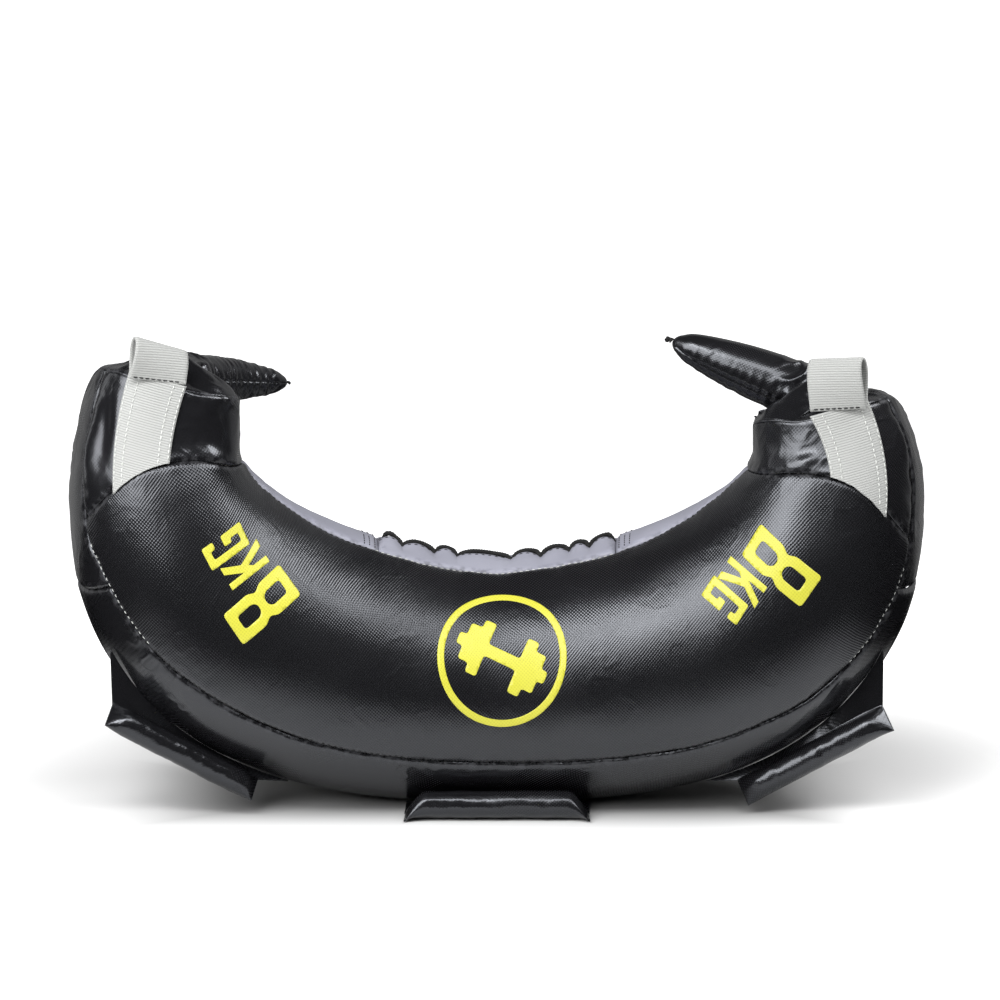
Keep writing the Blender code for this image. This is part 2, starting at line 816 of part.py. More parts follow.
def make_strap(end, back=False):
    """Webbing down one face of the end, from its top edge to the end seam."""

    def place(u, v):
        lean = lerp(end.strap_top, end.strap_bottom, u)
        across = lerp(-WEBBING_WIDTH / 2, WEBBING_WIDTH / 2, v)
        offset = lean + across
        angle = math.asin(min(max(offset / section(end.sign * ARC)[0], -1.0), 1.0))
        if back:
            angle = back_of(angle)
        low = end_seam(end, angle) + end.sign * SEAM_GAP
        high = rim_seam(end, angle)
        reach = lerp(high, low, u)
        return face_point(end, reach, offset, 2 * CLEARANCE, back)

    name = end.name + ("_back_strap" if back else "_front_strap")
    outwards = (end.sign > 0) != back
    return mapped_grid(name, place, STRAP_STEPS, WEBBING_GREY, thickness=WEBBING, inwards=outwards)


def loop_seat(end):
    """Flat place of the line where the hand loop is sewn on, above the strap's top."""
    reach = rim_seam(end, 0.0)
    centre, _, outward = frame_at(reach)
    depth = section(reach)[1]
    flat = centre + outward * end.strap_top
    return Vector((flat.x, -depth - CLEARANCE - WEBBING, flat.z + LOOP_SEAT))


def make_loop(end):
    """A hand loop of webbing: its two ends meet at the seam, and it stands up as a teardrop."""
    seat = loop_seat(end)
    tilt = Matrix.Rotation(math.radians(end.loop_tilt) * -end.sign, 3, "Y")

    def place(u, v):
        share = lerp(LOOP_OPEN_SHARE, 1 - LOOP_OPEN_SHARE, v)
        angle = math.radians(lerp(LOOP_FRONT_ANGLE, LOOP_BACK_ANGLE, share))
        reach = end.loop_height * math.sin(math.pi * share) ** LOOP_FULLNESS
        offset = Vector(
            (
                lerp(-WEBBING_WIDTH / 2, WEBBING_WIDTH / 2, u),
                reach * math.cos(angle),
                reach * math.sin(angle),
            )
        )
        return wrapped(seat + tilt @ offset)

    loop = mapped_grid(
        end.name + "_hand_loop",
        place,
        LOOP_STEPS,
        WEBBING_GREY,
        thickness=WEBBING,
        inwards=True,
    )
    move_origin(loop, wrapped(seat))
    return loop


def make_side_grip(end):
    """A fabric flap on the gusset's middle line with a stuffed tube along its edge."""
    middle = end.sign * GRIP_REACH_SHARE * ARC
    centre, along, outward = frame_at(middle)
    root = body_point(middle, math.radians(GRIP_SEAM_ANGLE))
    along = wrapped_direction(centre, along)
    outward = wrapped_direction(centre, outward)
    seat = root + outward * (GRIP_SEAT + GRIP_FABRIC + GRIP_LAYER_GAP / 2)
    tilt = Matrix.Rotation(math.radians(end.grip_tilt), 3, along)
    radial = tilt @ outward
    if radial.y > outward.y:
        radial = tilt.inverted() @ outward
    make_grip(end.name, seat, along, radial, GRIP_LENGTH, GRIP_WEB, middle=middle)


def make_grip(name, seat, along, radial, length, web, shift=0.0, middle=None):
    """One outer grip: the folded sleeve and the round stuffing in it, shifted off the flap's plane."""
    side = along.cross(radial).normalized()
    half = GRIP_FABRIC + GRIP_LAYER_GAP / 2
    tube = GRIP_TUBE_RADIUS
    centre_out = web + tube
    hold = GRIP_SEAT + half
    start = math.asin(max((half - shift) / tube, -1.0))
    stop = 2 * math.pi + math.asin(max((-half - shift) / tube, -1.0))

    def root_at(far):
        if middle is None:
            return seat + along * far
        centre, _, outward = frame_at(middle + far)
        surface = body_point(middle + far, math.radians(GRIP_SEAM_ANGLE))
        return surface + wrapped_direction(centre, outward) * hold

    def place(u, v):
        far = lerp(-length / 2, length / 2, u)
        base = root_at(far)
        line = seat + along * far
        if v < GRIP_WEB_SHARE:
            end = line + radial * (centre_out - tube * math.cos(start))
            return base.lerp(end, v / GRIP_WEB_SHARE) + side * half
        if v > 1 - GRIP_WEB_SHARE:
            end = line + radial * (centre_out - tube * math.cos(stop))
            return base.lerp(end, (1 - v) / GRIP_WEB_SHARE) - side * half
        round_share = (v - GRIP_WEB_SHARE) / (1 - 2 * GRIP_WEB_SHARE)
        turn = lerp(start, stop, round_share)
        across = shift + tube * math.sin(turn)
        return line + radial * (centre_out - tube * math.cos(turn)) + side * across

    sleeve = mapped_grid(
        name + "_grip_sleeve",
        place,
        GRIP_STEPS,
        COATED_BLACK,
        thickness=GRIP_FABRIC,
        inwards=False,
    )
    inner = tube - GRIP_FABRIC - CLEARANCE
    short = length / 2 - CLEARANCE
    axis = seat + radial * centre_out + side * shift
    ends = [axis + along * (sign * short) for sign in (-1, 1)]
    stuffing = make_cord(
        name + "_grip_stuffing", ends, inner * 2, STUFFING_WHITE, GRIP_STUFFING_SMOOTHNESS
    )
    move_origin(sleeve, seat)
    for point in stuffing.data.splines[0].points:
        point.co = (*(point.co.xyz - seat), 1.0)
    stuffing.location = seat


def make_centre_grip():
    """The middle grip: its flap is folded forwards under the bag, and its tube lies on the floor."""
    half = GRIP_FABRIC + GRIP_LAYER_GAP / 2
    seat = Vector((0.0, CENTRE_SEAM_Y, FLOOR_CLEARANCE + GRIP_FABRIC + half))
    along = Vector((-1.0, 0.0, 0.0))
    forwards = Vector((0.0, -1.0, 0.0))
    shift = GRIP_TUBE_RADIUS - half
    make_grip("centre", seat, along, forwards, CENTRE_GRIP_LENGTH, CENTRE_WEB, shift=shift)


def start_scene():
    """An empty scene with a collection for the bag and one for its cutters."""
    for obj in list(bpy.data.objects):
        bpy.data.objects.remove(obj, do_unlink=True)
    for name in ("bulgarian_bag", "cutters"):
        collection = bpy.data.collections.new(name)
        bpy.context.scene.collection.children.link(collection)
    bpy.data.collections["cutters"].hide_render = True


def main():
    """Builds the bag."""
    start_scene()
    make_panels()
    make_lace()
    make_fill()
    for end in ENDS:
        make_cap(end)
        make_horn(end)
        make_strap(end)
        make_strap(end, back=True)
        make_loop(end)
        make_side_grip(end)
    make_centre_grip()


if __name__ == "__main__":
    main()
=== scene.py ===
"""Bulgarian bag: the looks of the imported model.

A crescent of coated fabric stands on its outer curve. The script rebuilds each sewn piece as cloth:
panels pulled in at their seams, a grey neck band with a laced closure, webbing, horn grips, outer
grips, thread and prints. Metres, +Z up, -Y is the front. Every piece rides a body of the frame.
"""

import itertools
import json
import logging
import math
from dataclasses import dataclass, field
from enum import Enum
from functools import partial
from typing import Callable, Sequence

import bmesh
import bpy
import numpy as np
from mathutils import Matrix, Vector
from mathutils.bvhtree import BVHTree
from mathutils.geometry import barycentric_transform


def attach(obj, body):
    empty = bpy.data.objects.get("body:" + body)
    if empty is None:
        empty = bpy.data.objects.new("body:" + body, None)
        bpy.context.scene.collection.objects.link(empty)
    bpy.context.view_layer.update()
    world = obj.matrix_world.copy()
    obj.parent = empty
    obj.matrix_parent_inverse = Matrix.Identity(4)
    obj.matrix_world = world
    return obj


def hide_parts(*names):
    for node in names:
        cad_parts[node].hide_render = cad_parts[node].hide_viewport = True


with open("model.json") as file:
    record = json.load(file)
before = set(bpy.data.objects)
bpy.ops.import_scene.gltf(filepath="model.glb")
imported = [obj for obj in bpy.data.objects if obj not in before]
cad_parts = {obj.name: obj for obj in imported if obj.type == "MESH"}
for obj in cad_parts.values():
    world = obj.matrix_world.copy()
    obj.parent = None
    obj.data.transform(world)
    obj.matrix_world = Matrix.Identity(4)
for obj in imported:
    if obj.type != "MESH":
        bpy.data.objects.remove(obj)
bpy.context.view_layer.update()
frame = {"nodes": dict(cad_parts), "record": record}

log = logging.getLogger("bulgarian_bag")
Array = np.ndarray
Seam = Callable[[Array], Array]
Colour = tuple[float, float, float]
FULL_TURN = 2 * math.pi
QUARTER = math.pi / 2


def smooth(share: Array) -> Array:
    """0 to 1 with level ends."""
    share = np.clip(share, 0.0, 1.0)
    return share * share * (3.0 - 2.0 * share)


def powered(value: Array, power: Array) -> Array:
    """Values raised to a power with their signs kept."""
    return np.sign(value) * np.abs(value) ** power


def lerp(low: Array, high: Array, share: Array) -> Array:
    """Values between two others."""
    return low + (high - low) * share


def unit(vectors: Array) -> Array:
    """Vectors scaled to length one."""
    return vectors / np.maximum(np.linalg.norm(vectors, axis=-1, keepdims=True), 1e-12)


def keyed(shares: Sequence[float], values: Sequence[float], at: Array) -> Array:
    """Values at shares, on a smooth curve through the keys.

    Args:
        shares: Places of the keys, rising.
        values: Value at each key.
        at: Shares to read the curve at.

    Returns:
        One value for each share in at.
    """
    shares, values = np.array(shares, float), np.array(values, float)
    at = np.clip(np.asarray(at, float), shares[0], shares[-1])
    index = np.clip(np.searchsorted(shares, at, side="right") - 1, 0, len(shares) - 2)
    order = np.arange(len(shares))
    low, high = np.maximum(order - 1, 0), np.minimum(order + 1, len(shares) - 1)
    slopes = (values[high] - values[low]) / (shares[high] - shares[low])
    span = shares[index + 1] - shares[index]
    t = (at - shares[index]) / span
    return (
        values[index] * (2 * t**3 - 3 * t**2 + 1)
        + values[index + 1] * (3 * t**2 - 2 * t**3)
        + span * slopes[index] * (t**3 - 2 * t**2 + t)
        + span * slopes[index + 1] * (t**3 - t**2)
    )


def grid(
    steps: tuple[int, int], along: tuple = (0.0, 1.0), across: tuple = (0.0, 1.0)
) -> tuple[Array, Array]:
    """Two grids of numbers, one that rises along its columns and one that rises across them.

    Args:
        steps: Number of cells along and across.
        along: First and last number along.
        across: First and last number across.

    Returns:
        The numbers along and the numbers across, each one grid.
    """
    columns, rows = np.linspace(*along, steps[0] + 1), np.linspace(*across, steps[1] + 1)
    first, second = np.meshgrid(columns, rows, indexing="ij")
    return first, second


def lengths_to(points: Array) -> Array:
    """Length along a line of points, from its start to each of them."""
    return np.concatenate([[0.0], np.cumsum(np.linalg.norm(np.diff(points, axis=0), axis=1))])


def mesh_of(name: str, bm: bmesh.types.BMesh) -> bpy.types.Mesh:
    """A mesh with what a BMesh holds, which is freed."""
    mesh = bpy.data.meshes.new(name)
    bm.to_mesh(mesh)
    bm.free()
    return mesh


def show(mesh: bpy.types.Mesh, thickness: float = 0.0) -> bpy.types.Object:
    """Puts a mesh into the scene.

    Args:
        mesh: The mesh, whose name the object takes.
        thickness: Thickness given to it inwards, or 0 to leave it as it is.

    Returns:
        The object.
    """
    mesh.shade_smooth()
    obj = bpy.data.objects.new(mesh.name, mesh)
    bpy.context.scene.collection.objects.link(obj)
    if thickness:
        solidify = obj.modifiers.new("Thickness", "SOLIDIFY")
        solidify.thickness = thickness
        solidify.offset = -1.0
    return obj


def put_flat(mesh: bpy.types.Mesh, flat: Array) -> None:
    """Stores each vertex's place on the flat cut, for the weave."""
    cloth = mesh.attributes.new(ClothGrid.CLOTH, "FLOAT_VECTOR", "POINT")
    cloth.data.foreach_set("vector", np.pad(flat, ((0, 0), (0, 1))).astype(np.float32).ravel())


class Noise:
    """Smooth random lumps, the same on every run."""

    PRIMES = (73856093, 19349663, 83492791)
    SEED_PRIME = 50331653
    MIX_PRIME = 1274126177
    TOP = 0x7FFFFFFF
    HALF_RANGE = 32767.5

    @classmethod
    def lumps(cls, places: Array, seed: int) -> Array:
        """Noise from -1 to 1 at 3-D places, about one lump a unit.

        Args:
            places: Places, with 3 numbers along the last axis.
            seed: Picks the pattern.

        Returns:
            One value for each place.
        """
        cell = np.floor(places).astype(np.int64)
        ease = smooth(places - cell)
        total = np.zeros(places.shape[:-1])
        for corner in itertools.product((0, 1), repeat=3):
            at = cell + np.array(corner)
            key = seed * cls.SEED_PRIME ^ at[..., 0] * cls.PRIMES[0]
            key = key ^ at[..., 1] * cls.PRIMES[1] ^ at[..., 2] * cls.PRIMES[2]
            key = ((key ^ (key >> 13)) * cls.MIX_PRIME) & cls.TOP
            value = ((key ^ (key >> 16)) & 0xFFFF) / cls.HALF_RANGE - 1.0
            weight = np.prod(np.where(np.array(corner) == 1, ease, 1.0 - ease), axis=-1)
            total += value * weight
        return total

    @classmethod
    def ridges(cls, places: Array, seed: int) -> Array:
        """Sharp creases: 1 along thin lines, down to 0 between them."""
        return 1.0 - np.minimum(np.abs(cls.lumps(places, seed)) * 2.0, 1.0)

    @classmethod
    def rough(cls, places: Array, seed: int, octaves: int = 3) -> Array:
        """Several sizes of lumps added up, each half the size of the last."""
        total = np.zeros(places.shape[:-1])
        for octave in range(octaves):
            total += cls.lumps(places * 2.0**octave, seed + octave) / 2.0**octave
        return total


@dataclass(frozen=True)
class EndSizes:
    """Sizes of one end of the bag, in metres and degrees, where left and right differ a little."""

    name: str
    sign: int
    outer_rim: float
    outer_lean: float
    inner_rim: float
    seam_height: float
    seam_slope: float
    seam_curve: float
    rim_back_drop: float
    strap_top: float
    strap_bottom: float
    loop_tilt: float
    loop_height: float
    horn_inset: float
    horn_depth: float
    horn_height: float
    horn_start: tuple[float, float, float]
    horn_finish: tuple[float, float, float]
    horn_girth: tuple[float, float]
    grip_tilt: float
    gusset_shares: tuple
    gusset_half_angles: tuple
    inner_rise: float
    loop_yaw: float
    loop_taper: float
    flap_ridge: tuple


LEFT = EndSizes(
    name="left",
    sign=-1,
    outer_rim=0.294,
    outer_lean=0.019,
    inner_rim=0.271,
    seam_height=0.016,
    seam_slope=-0.003,
    seam_curve=0.027,
    rim_back_drop=0.037,
    strap_top=0.0150,
    strap_bottom=0.0190,
    loop_tilt=8.0,
    loop_height=0.026,
    horn_inset=0.072,
    horn_depth=0.008,
    horn_height=0.2815,
    horn_start=(0.45, 0.88, -0.08),
    horn_finish=(0.85, 0.52, -0.12),
    horn_girth=(1.0, 0.96),
    grip_tilt=50.0,
    gusset_shares=(0.0, 0.40, 0.62, 0.77, 0.85, 0.91, 0.97, 1.35),
    gusset_half_angles=(60.0, 58.0, 55.0, 46.5, 39.5, 32.5, 23.0, 12.0),
    inner_rise=0.003,
    loop_yaw=15.0,
    loop_taper=0.22,
    flap_ridge=(
        (-0.2180, -0.0480, 0.2960),
        (-0.2080, -0.0440, 0.2995),
        (-0.1990, -0.0420, 0.2990),
        (-0.1910, -0.0410, 0.2940),
        (-0.1810, -0.0400, 0.2860),
        (-0.1690, -0.0360, 0.2740),
    ),
)
RIGHT = EndSizes(
    name="right",
    sign=1,
    outer_rim=0.275,
    outer_lean=0.021,
    inner_rim=0.252,
    seam_height=0.0085,
    seam_slope=-0.004,
    seam_curve=0.028,
    rim_back_drop=0.015,
    strap_top=0.0186,
    strap_bottom=0.024,
    loop_tilt=5.0,
    loop_height=0.032,
    horn_inset=0.072,
    horn_depth=0.008,
    horn_height=0.2705,
    horn_start=(-0.90, 0.25, 0.33),
    horn_finish=(-0.95, 0.12, 0.36),
    horn_girth=(1.07, 1.12),
    grip_tilt=28.0,
    gusset_shares=(0.0, 0.28, 0.41, 0.55, 0.66, 0.73, 0.815, 0.875, 0.94, 1.35),
    gusset_half_angles=(60.0, 57.5, 54.0, 49.5, 43.0, 38.5, 31.0, 24.0, 18.0, 11.0),
    inner_rise=0.013,
    loop_yaw=14.0,
    loop_taper=0.0,
    flap_ridge=(
        (0.2170, -0.0470, 0.2780),
        (0.2080, -0.0440, 0.2830),
        (0.1985, -0.0420, 0.2835),
        (0.1900, -0.0410, 0.2770),
        (0.1800, -0.0390, 0.2690),
        (0.1690, -0.0350, 0.2625),
    ),
)
ENDS = (LEFT, RIGHT)


@dataclass
class BagShape:
    """The bag's outline: where a place along the tube and an angle round it lie in space.

    A place along the tube, its reach, is the length along its middle line from the bottom. An
    angle of 0 is the front, a quarter turn the outer curve, and a quarter turn back the neck.
    """

    outer_half_span: float = 0.2790
    outer_shoulder: float = 0.2040
    outer_power: float = 2.4
    inner_half_span: float = 0.1690
    inner_shoulder: float = 0.2360
    inner_power: float = 1.62
    tube_diameter: float = 0.1640
    inner_lead: float = 0.66
    wrap_radius: float = 0.840
    floor_sink: float = 0.0025
    curve_samples: int = 400
    path_steps: int = 160
    neck_overrun: float = 1.6
    depth_shares: tuple = (0.0, 0.55, 0.80, 0.97, 1.10, 1.35)
    depths: tuple = (0.0820, 0.0820, 0.0740, 0.0620, 0.0500, 0.0410)
    squareness: tuple = (2.0, 2.0, 2.1, 2.3, 2.6, 3.0)
    neck_shares: tuple = (0.0, 0.45, 0.75, 1.05)
    neck_half_angles: tuple = (20.0, 18.0, 12.0, 7.0)
    gusset_split_share: float = 0.88
    closure_half_length: float = 0.092
    slit_half_width: float = 0.0016
    face_edge: float = 0.98
    drop_start: float = 0.15
    drop_span: float = 0.65
    rise_side_span: float = 0.8
    rise_back_start: float = 0.3
    rise_back_span: float = 0.5
    sides: dict = field(default_factory=dict)
    arc: float = 0.0

    def __post_init__(self) -> None:
        """Works out the two halves of the crescent."""
        self.sides = {end.sign: self._half(end) for end in ENDS}
        self.arc = float(self.sides[-1][0][self.path_steps])

    def _quarter(self, half_span: float, low: float, high: float, power: float) -> tuple:
        """A quarter superellipse from the bottom to its shoulder: its lengths, x and z."""
        turn = QUARTER * smooth(np.linspace(0.0, 1.0, self.curve_samples + 1))
        x = half_span * powered(np.sin(turn), 2 / power)
        z = high - (high - low) * powered(np.cos(turn), 2 / power)
        return self._lengths(x, z), x, z

    @staticmethod
    def _lengths(x: Array, z: Array) -> Array:
        """Length along a line of points, from its start to each of them."""
        return np.concatenate([[0.0], np.cumsum(np.hypot(np.diff(x), np.diff(z)))])

    def _half(self, end: EndSizes) -> tuple:
        """One half's lengths along its middle line, with outer x, z, inner x, z and the rim's place."""
        outer_length, outer_x, outer_z = self._quarter(
            self.outer_half_span, -self.floor_sink, self.outer_shoulder, self.outer_power
        )
        inner_low = self.tube_diameter - self.floor_sink
        inner_length, inner_x, inner_z = self._quarter(
            self.inner_half_span, inner_low, self.inner_shoulder, self.inner_power
        )
        share = np.arange(self.path_steps + 1) / self.path_steps
        far, near = share * outer_length[-1], share**self.inner_lead * inner_length[-1]
        rise = share[1:] * self.neck_overrun
        x0 = np.interp(far, outer_length, outer_x)
        z0 = np.interp(far, outer_length, outer_z)
        x1 = np.interp(near, inner_length, inner_x)
        z1 = np.interp(near, inner_length, inner_z)
        x0 = np.concatenate([x0, self.outer_half_span - end.outer_lean * rise**2])
        z0 = np.concatenate([z0, lerp(self.outer_shoulder, end.outer_rim, rise)])
        x1 = np.concatenate([x1, np.full_like(rise, self.inner_half_span)])
        z1 = np.concatenate([z1, lerp(self.inner_shoulder, end.inner_rim, rise)])
        lengths = self._lengths((x0 + x1) / 2, (z0 + z1) / 2)
        rim = self.path_steps + round(self.path_steps / self.neck_overrun)
        return lengths, x0, z0, x1, z1, float(lengths[rim])

    def middle(self, reach: Array) -> tuple[Array, Array, Array]:
        """The tube's middle line.

        Args:
            reach: Places along the tube.

        Returns:
            The section's middle (x, z), its outward direction (x, z) and its half-width.
        """
        reach = np.asarray(reach, float)
        outer = np.zeros(reach.shape + (2,))
        inner = np.zeros(reach.shape + (2,))
        for sign, (lengths, x0, z0, x1, z1, _) in self.sides.items():
            mask = (reach < 0) == (sign < 0)
            far = np.abs(reach[mask])
            outer[mask, 0] = sign * np.interp(far, lengths, x0)
            outer[mask, 1] = np.interp(far, lengths, z0)
            inner[mask, 0] = sign * np.interp(far, lengths, x1)
            inner[mask, 1] = np.interp(far, lengths, z1)
        across = outer - inner
        return (outer + inner) / 2, unit(across), np.linalg.norm(across, axis=-1) / 2

    def depth(self, reach: Array) -> tuple[Array, Array]:
        """Half-depth and squareness of the tube's sections."""
        at = np.abs(reach) / self.arc
        depth = keyed(self.depth_shares, self.depths, at)
        return depth, keyed(self.depth_shares, self.squareness, at)

    def wrapped(self, flat: Array) -> Array:
        """Points of the flat crescent, wrapped forwards about an upright axis in front of it."""
        turn = flat[..., 0] / self.wrap_radius
        radius = self.wrap_radius + flat[..., 1]
        return np.stack(
            [radius * np.sin(turn), radius * np.cos(turn) - self.wrap_radius, flat[..., 2]], -1
        )

    def surface(self, reach: Array, angle: Array, lift: float = 0.0) -> Array:
        """Points of the bag's surface.

        Args:
            reach: Places along the tube.
            angle: Angles round the section.
            lift: Distance out from the surface.

        Returns:
            One point for each place and angle.
        """
        middle, outward, width = self.middle(reach)
        depth, square = self.depth(reach)
        side = (width + lift) * powered(np.sin(angle), 2 / square)
        ahead = (depth + lift) * powered(np.cos(angle), 2 / square)
        flat = np.stack(
            [middle[..., 0] + outward[..., 0] * side, -ahead, middle[..., 1] + outward[..., 1] * side],
            -1,
        )
        point = self.wrapped(flat)
        point[..., 2] = np.maximum(point[..., 2], 0.0)
        return point

    def axis_point(self, reach: Array) -> Array:
        """Points of the middle line in space."""
        middle = self.middle(reach)[0]
        return self.wrapped(np.stack([middle[..., 0], np.zeros_like(reach), middle[..., 1]], -1))

    def face(self, reach: Array, offset: Array, proud: float, back: bool) -> Array:
        """Points of an end's front or back face.

        Args:
            reach: Places along the tube.
            offset: Distances outwards from its middle line.
            proud: Distance off the face.
            back: True for the back face.

        Returns:
            One point for each place and offset.
        """
        middle, outward, width = self.middle(reach)
        depth, square = self.depth(reach)
        share = np.minimum(np.abs(offset) / (width + proud), self.face_edge)
        ahead = (depth + proud) * (1 - share**square) ** (1 / square)
        x = middle[..., 0] + outward[..., 0] * offset
        z = middle[..., 1] + outward[..., 1] * offset
        return self.wrapped(np.stack([x, ahead if back else -ahead, z], -1))

    def gusset_angle(self, reach: Array) -> Array:
        """Angle of the seam between the front panel and the outer gusset."""
        half = np.zeros_like(np.asarray(reach, float))
        for end in ENDS:
            keys = keyed(end.gusset_shares, end.gusset_half_angles, np.abs(reach) / self.arc)
            half = np.where((reach < 0) == (end.sign < 0), keys, half)
        return np.radians(90.0 - half)

    def neck_angle(self, reach: Array) -> Array:
        """Angle of the seam between the front panel and the neck band."""
        share = np.abs(reach) / self.arc
        return np.radians(keyed(self.neck_shares, self.neck_half_angles, share) - 90.0)

    def back_gusset_angle(self, reach: Array) -> Array:
        """Angle of the seam between the back panel and the outer gusset."""
        return math.pi - self.gusset_angle(reach)

    def back_neck_angle(self, reach: Array) -> Array:
        """Angle of the seam between the back panel and the neck band, past the outer curve."""
        return math.pi - self.neck_angle(reach)

    def band_back_angle(self, reach: Array) -> Array:
        """The same seam, counted from the front past the neck."""
        return -math.pi - self.neck_angle(reach)

    def end_seam(self, end: EndSizes, angle: Array) -> Array:
        """Places along the tube of the seam where the end panels start."""
        across = np.sin(angle)
        drop = end.seam_slope * across + end.seam_curve * across**2
        return end.sign * (self.arc + end.seam_height - drop)

    def rim_seam(self, end: EndSizes, angle: Array) -> Array:
        """Places along the tube of the end's top edge."""
        ahead = np.cos(angle)
        back = (1 - ahead) / 2 * smooth((self.drop_start - ahead) / self.drop_span)
        rise = end.inner_rise * smooth(-np.sin(angle) / self.rise_side_span)
        rise = rise * smooth((ahead + self.rise_back_start) / self.rise_back_span)
        return end.sign * (self.sides[end.sign][5] - end.rim_back_drop * back + rise)

    @staticmethod
    def fixed(value: float) -> Seam:
        """A seam at a fixed place."""
        return lambda other: np.full_like(np.asarray(other, float), value)


class Edge(Enum):
    """The four seams of a panel."""

    START = "start"
    FINISH = "finish"
    LOW = "low"
    HIGH = "high"


@dataclass(frozen=True)
class Fold:
    """A soft fold seen from the front, from one place (x, z) to another, in metres."""

    start: tuple[float, float]
    finish: tuple[float, float]
    width: float
    height: float


class ClothGrid:
    """Cloth as a grid of points with its relief and the distances to its four edges."""

    CLOTH = "cloth"
    SEAM = "seam"
    FAR = 0.05
    PUCKER_DRIFT = 0.6
    FINE_PUCKERS = 2.3
    FINE_SHARE = 0.5
    FINE_SEED = 9
    PUCKER_RISE = 0.3
    WARP_SCALE = 0.7
    WARP = 0.35
    WARP_SEEDS = (11, 12, 13)
    FOLD_ENDS = (0.08, 0.84)

    def __init__(self, points: Array, inside: Array, ring: bool = False) -> None:
        """Measures the grid.

        Args:
            points: Points, columns by rows by 3.
            inside: A point, or a grid of them, that the cloth's back faces.
            ring: True if the rows close into a ring.
        """
        self.points = points
        self.inside = inside
        self.ring = ring
        self.relief = np.zeros(points.shape[:2])
        along = np.linalg.norm(np.diff(points, axis=0), axis=-1)
        across = np.linalg.norm(np.diff(points, axis=1), axis=-1)
        self.from_start = np.concatenate([np.zeros((1, points.shape[1])), np.cumsum(along, 0)])
        self.from_low = np.concatenate([np.zeros((points.shape[0], 1)), np.cumsum(across, 1)], 1)
        self.to_finish = self.from_start[-1:] - self.from_start
        self.to_high = self.from_low[:, -1:] - self.from_low
        self.normals, self.flipped = self._normals(inside)
        self.flat = np.stack([self.from_start, self.from_low], -1)
        self.edges: tuple[Edge, ...] = ()

    def _normals(self, inside: Array) -> tuple[Array, bool]:
        """Outward normals of the points, and whether the faces have to be turned over."""
        if self.ring:
            padded = np.concatenate([self.points[:, -2:-1], self.points, self.points[:, 1:2]], 1)
            across = (padded[:, 2:] - padded[:, :-2]) / 2
        else:
            across = np.gradient(self.points, axis=1)
        normals = unit(np.cross(np.gradient(self.points, axis=0), across))
        facing = np.sum(normals * (self.points - inside), axis=-1)
        flipped = float(np.mean(np.sign(facing))) < 0
        return (-normals if flipped else normals), flipped

    def distance(self, edge: Edge) -> Array:
        """Distance of each point from a seam."""
        return {
            Edge.START: self.from_start,
            Edge.FINISH: self.to_finish,
            Edge.LOW: self.from_low,
            Edge.HIGH: self.to_high,
        }[edge]

    def along(self, edge: Edge) -> Array:
        """Place of each point along a seam."""
        return self.from_low if edge in (Edge.START, Edge.FINISH) else self.from_start

    def nearest_seam(self) -> Array:
        """Distance of each point from the nearest of its sewn edges."""
        if not self.edges:
            return np.full(self.relief.shape, self.FAR)
        return np.minimum.reduce([self.distance(edge) for edge in self.edges])

    def sink(self, edges: Sequence[Edge], depth: float, width: float) -> None:
        """Pulls the cloth in at its seams."""
        self.edges += tuple(edges)
        for edge in edges:
            near = np.clip(1.0 - self.distance(edge) / width, 0.0, 1.0)
            self.relief -= depth * near**2

    def pucker(self, edges: Sequence[Edge], height: float, pitch: float, fade: float, seed: int) -> None:
        """Gathers the cloth along its seams.

        Args:
            edges: Seams to gather at.
            height: Height of the puckers at the seam.
            pitch: Rough distance between them.
            fade: Distance over which they die out.
            seed: Picks the pattern.
        """
        for number, edge in enumerate(edges):
            far = self.distance(edge)
            place = self.along(edge) / pitch
            drift = Noise.lumps(self.points / (fade * 2), seed + 7) * self.PUCKER_DRIFT
            zero = np.zeros_like(place)
            lines = np.stack([place + drift, far / (fade * 3), zero + number], -1)
            across = zero + number + self.FINE_SEED
            fine = np.stack([place * self.FINE_PUCKERS - drift, far / fade, across], -1)
            wave = Noise.lumps(lines, seed) + self.FINE_SHARE * Noise.lumps(fine, seed + 3)
            self.relief += height * wave * np.exp(-far / fade) * smooth(far / (fade * self.PUCKER_RISE))

    def billow(self, height: float, size: float, seed: int) -> None:
        """Swells and sags the cloth in broad lumps."""
        self.relief += height * Noise.lumps(self.points / size, seed)

    def crease(self, height: float, size: tuple, seed: int, mask: Array | float = 1.0) -> None:
        """Creases the cloth in sharp lines.

        Args:
            height: Height of the creases.
            size: Rough size of a crease along x, y and z.
            seed: Picks the pattern.
            mask: Share of the creases at each point.
        """
        places = self.points / np.array(size)
        warp = [Noise.lumps(places * self.WARP_SCALE, seed + k) for k in self.WARP_SEEDS]
        ridges = Noise.ridges(places + self.WARP * np.stack(warp, -1), seed)
        self.relief += height * (ridges - 0.5) * mask

    def fold(self, folds: Sequence[Fold]) -> None:
        """Lays single folds, seen from the front, over the front of the cloth."""
        for item in folds:
            start, finish = np.array(item.start), np.array(item.finish)
            line = finish - start
            length = float(np.linalg.norm(line))
            rel = self.points[..., [0, 2]] - start
            t = np.clip(rel @ line / length**2, 0.0, 1.0)
            away = np.linalg.norm(rel - t[..., None] * line, axis=-1)
            ends = np.sin(math.pi * np.clip(self.FOLD_ENDS[0] + self.FOLD_ENDS[1] * t, 0.0, 1.0))
            front = smooth(0.5 - self.normals[..., 1] * 2.0)
            self.relief += item.height * np.exp(-((away / item.width) ** 2)) * ends * front

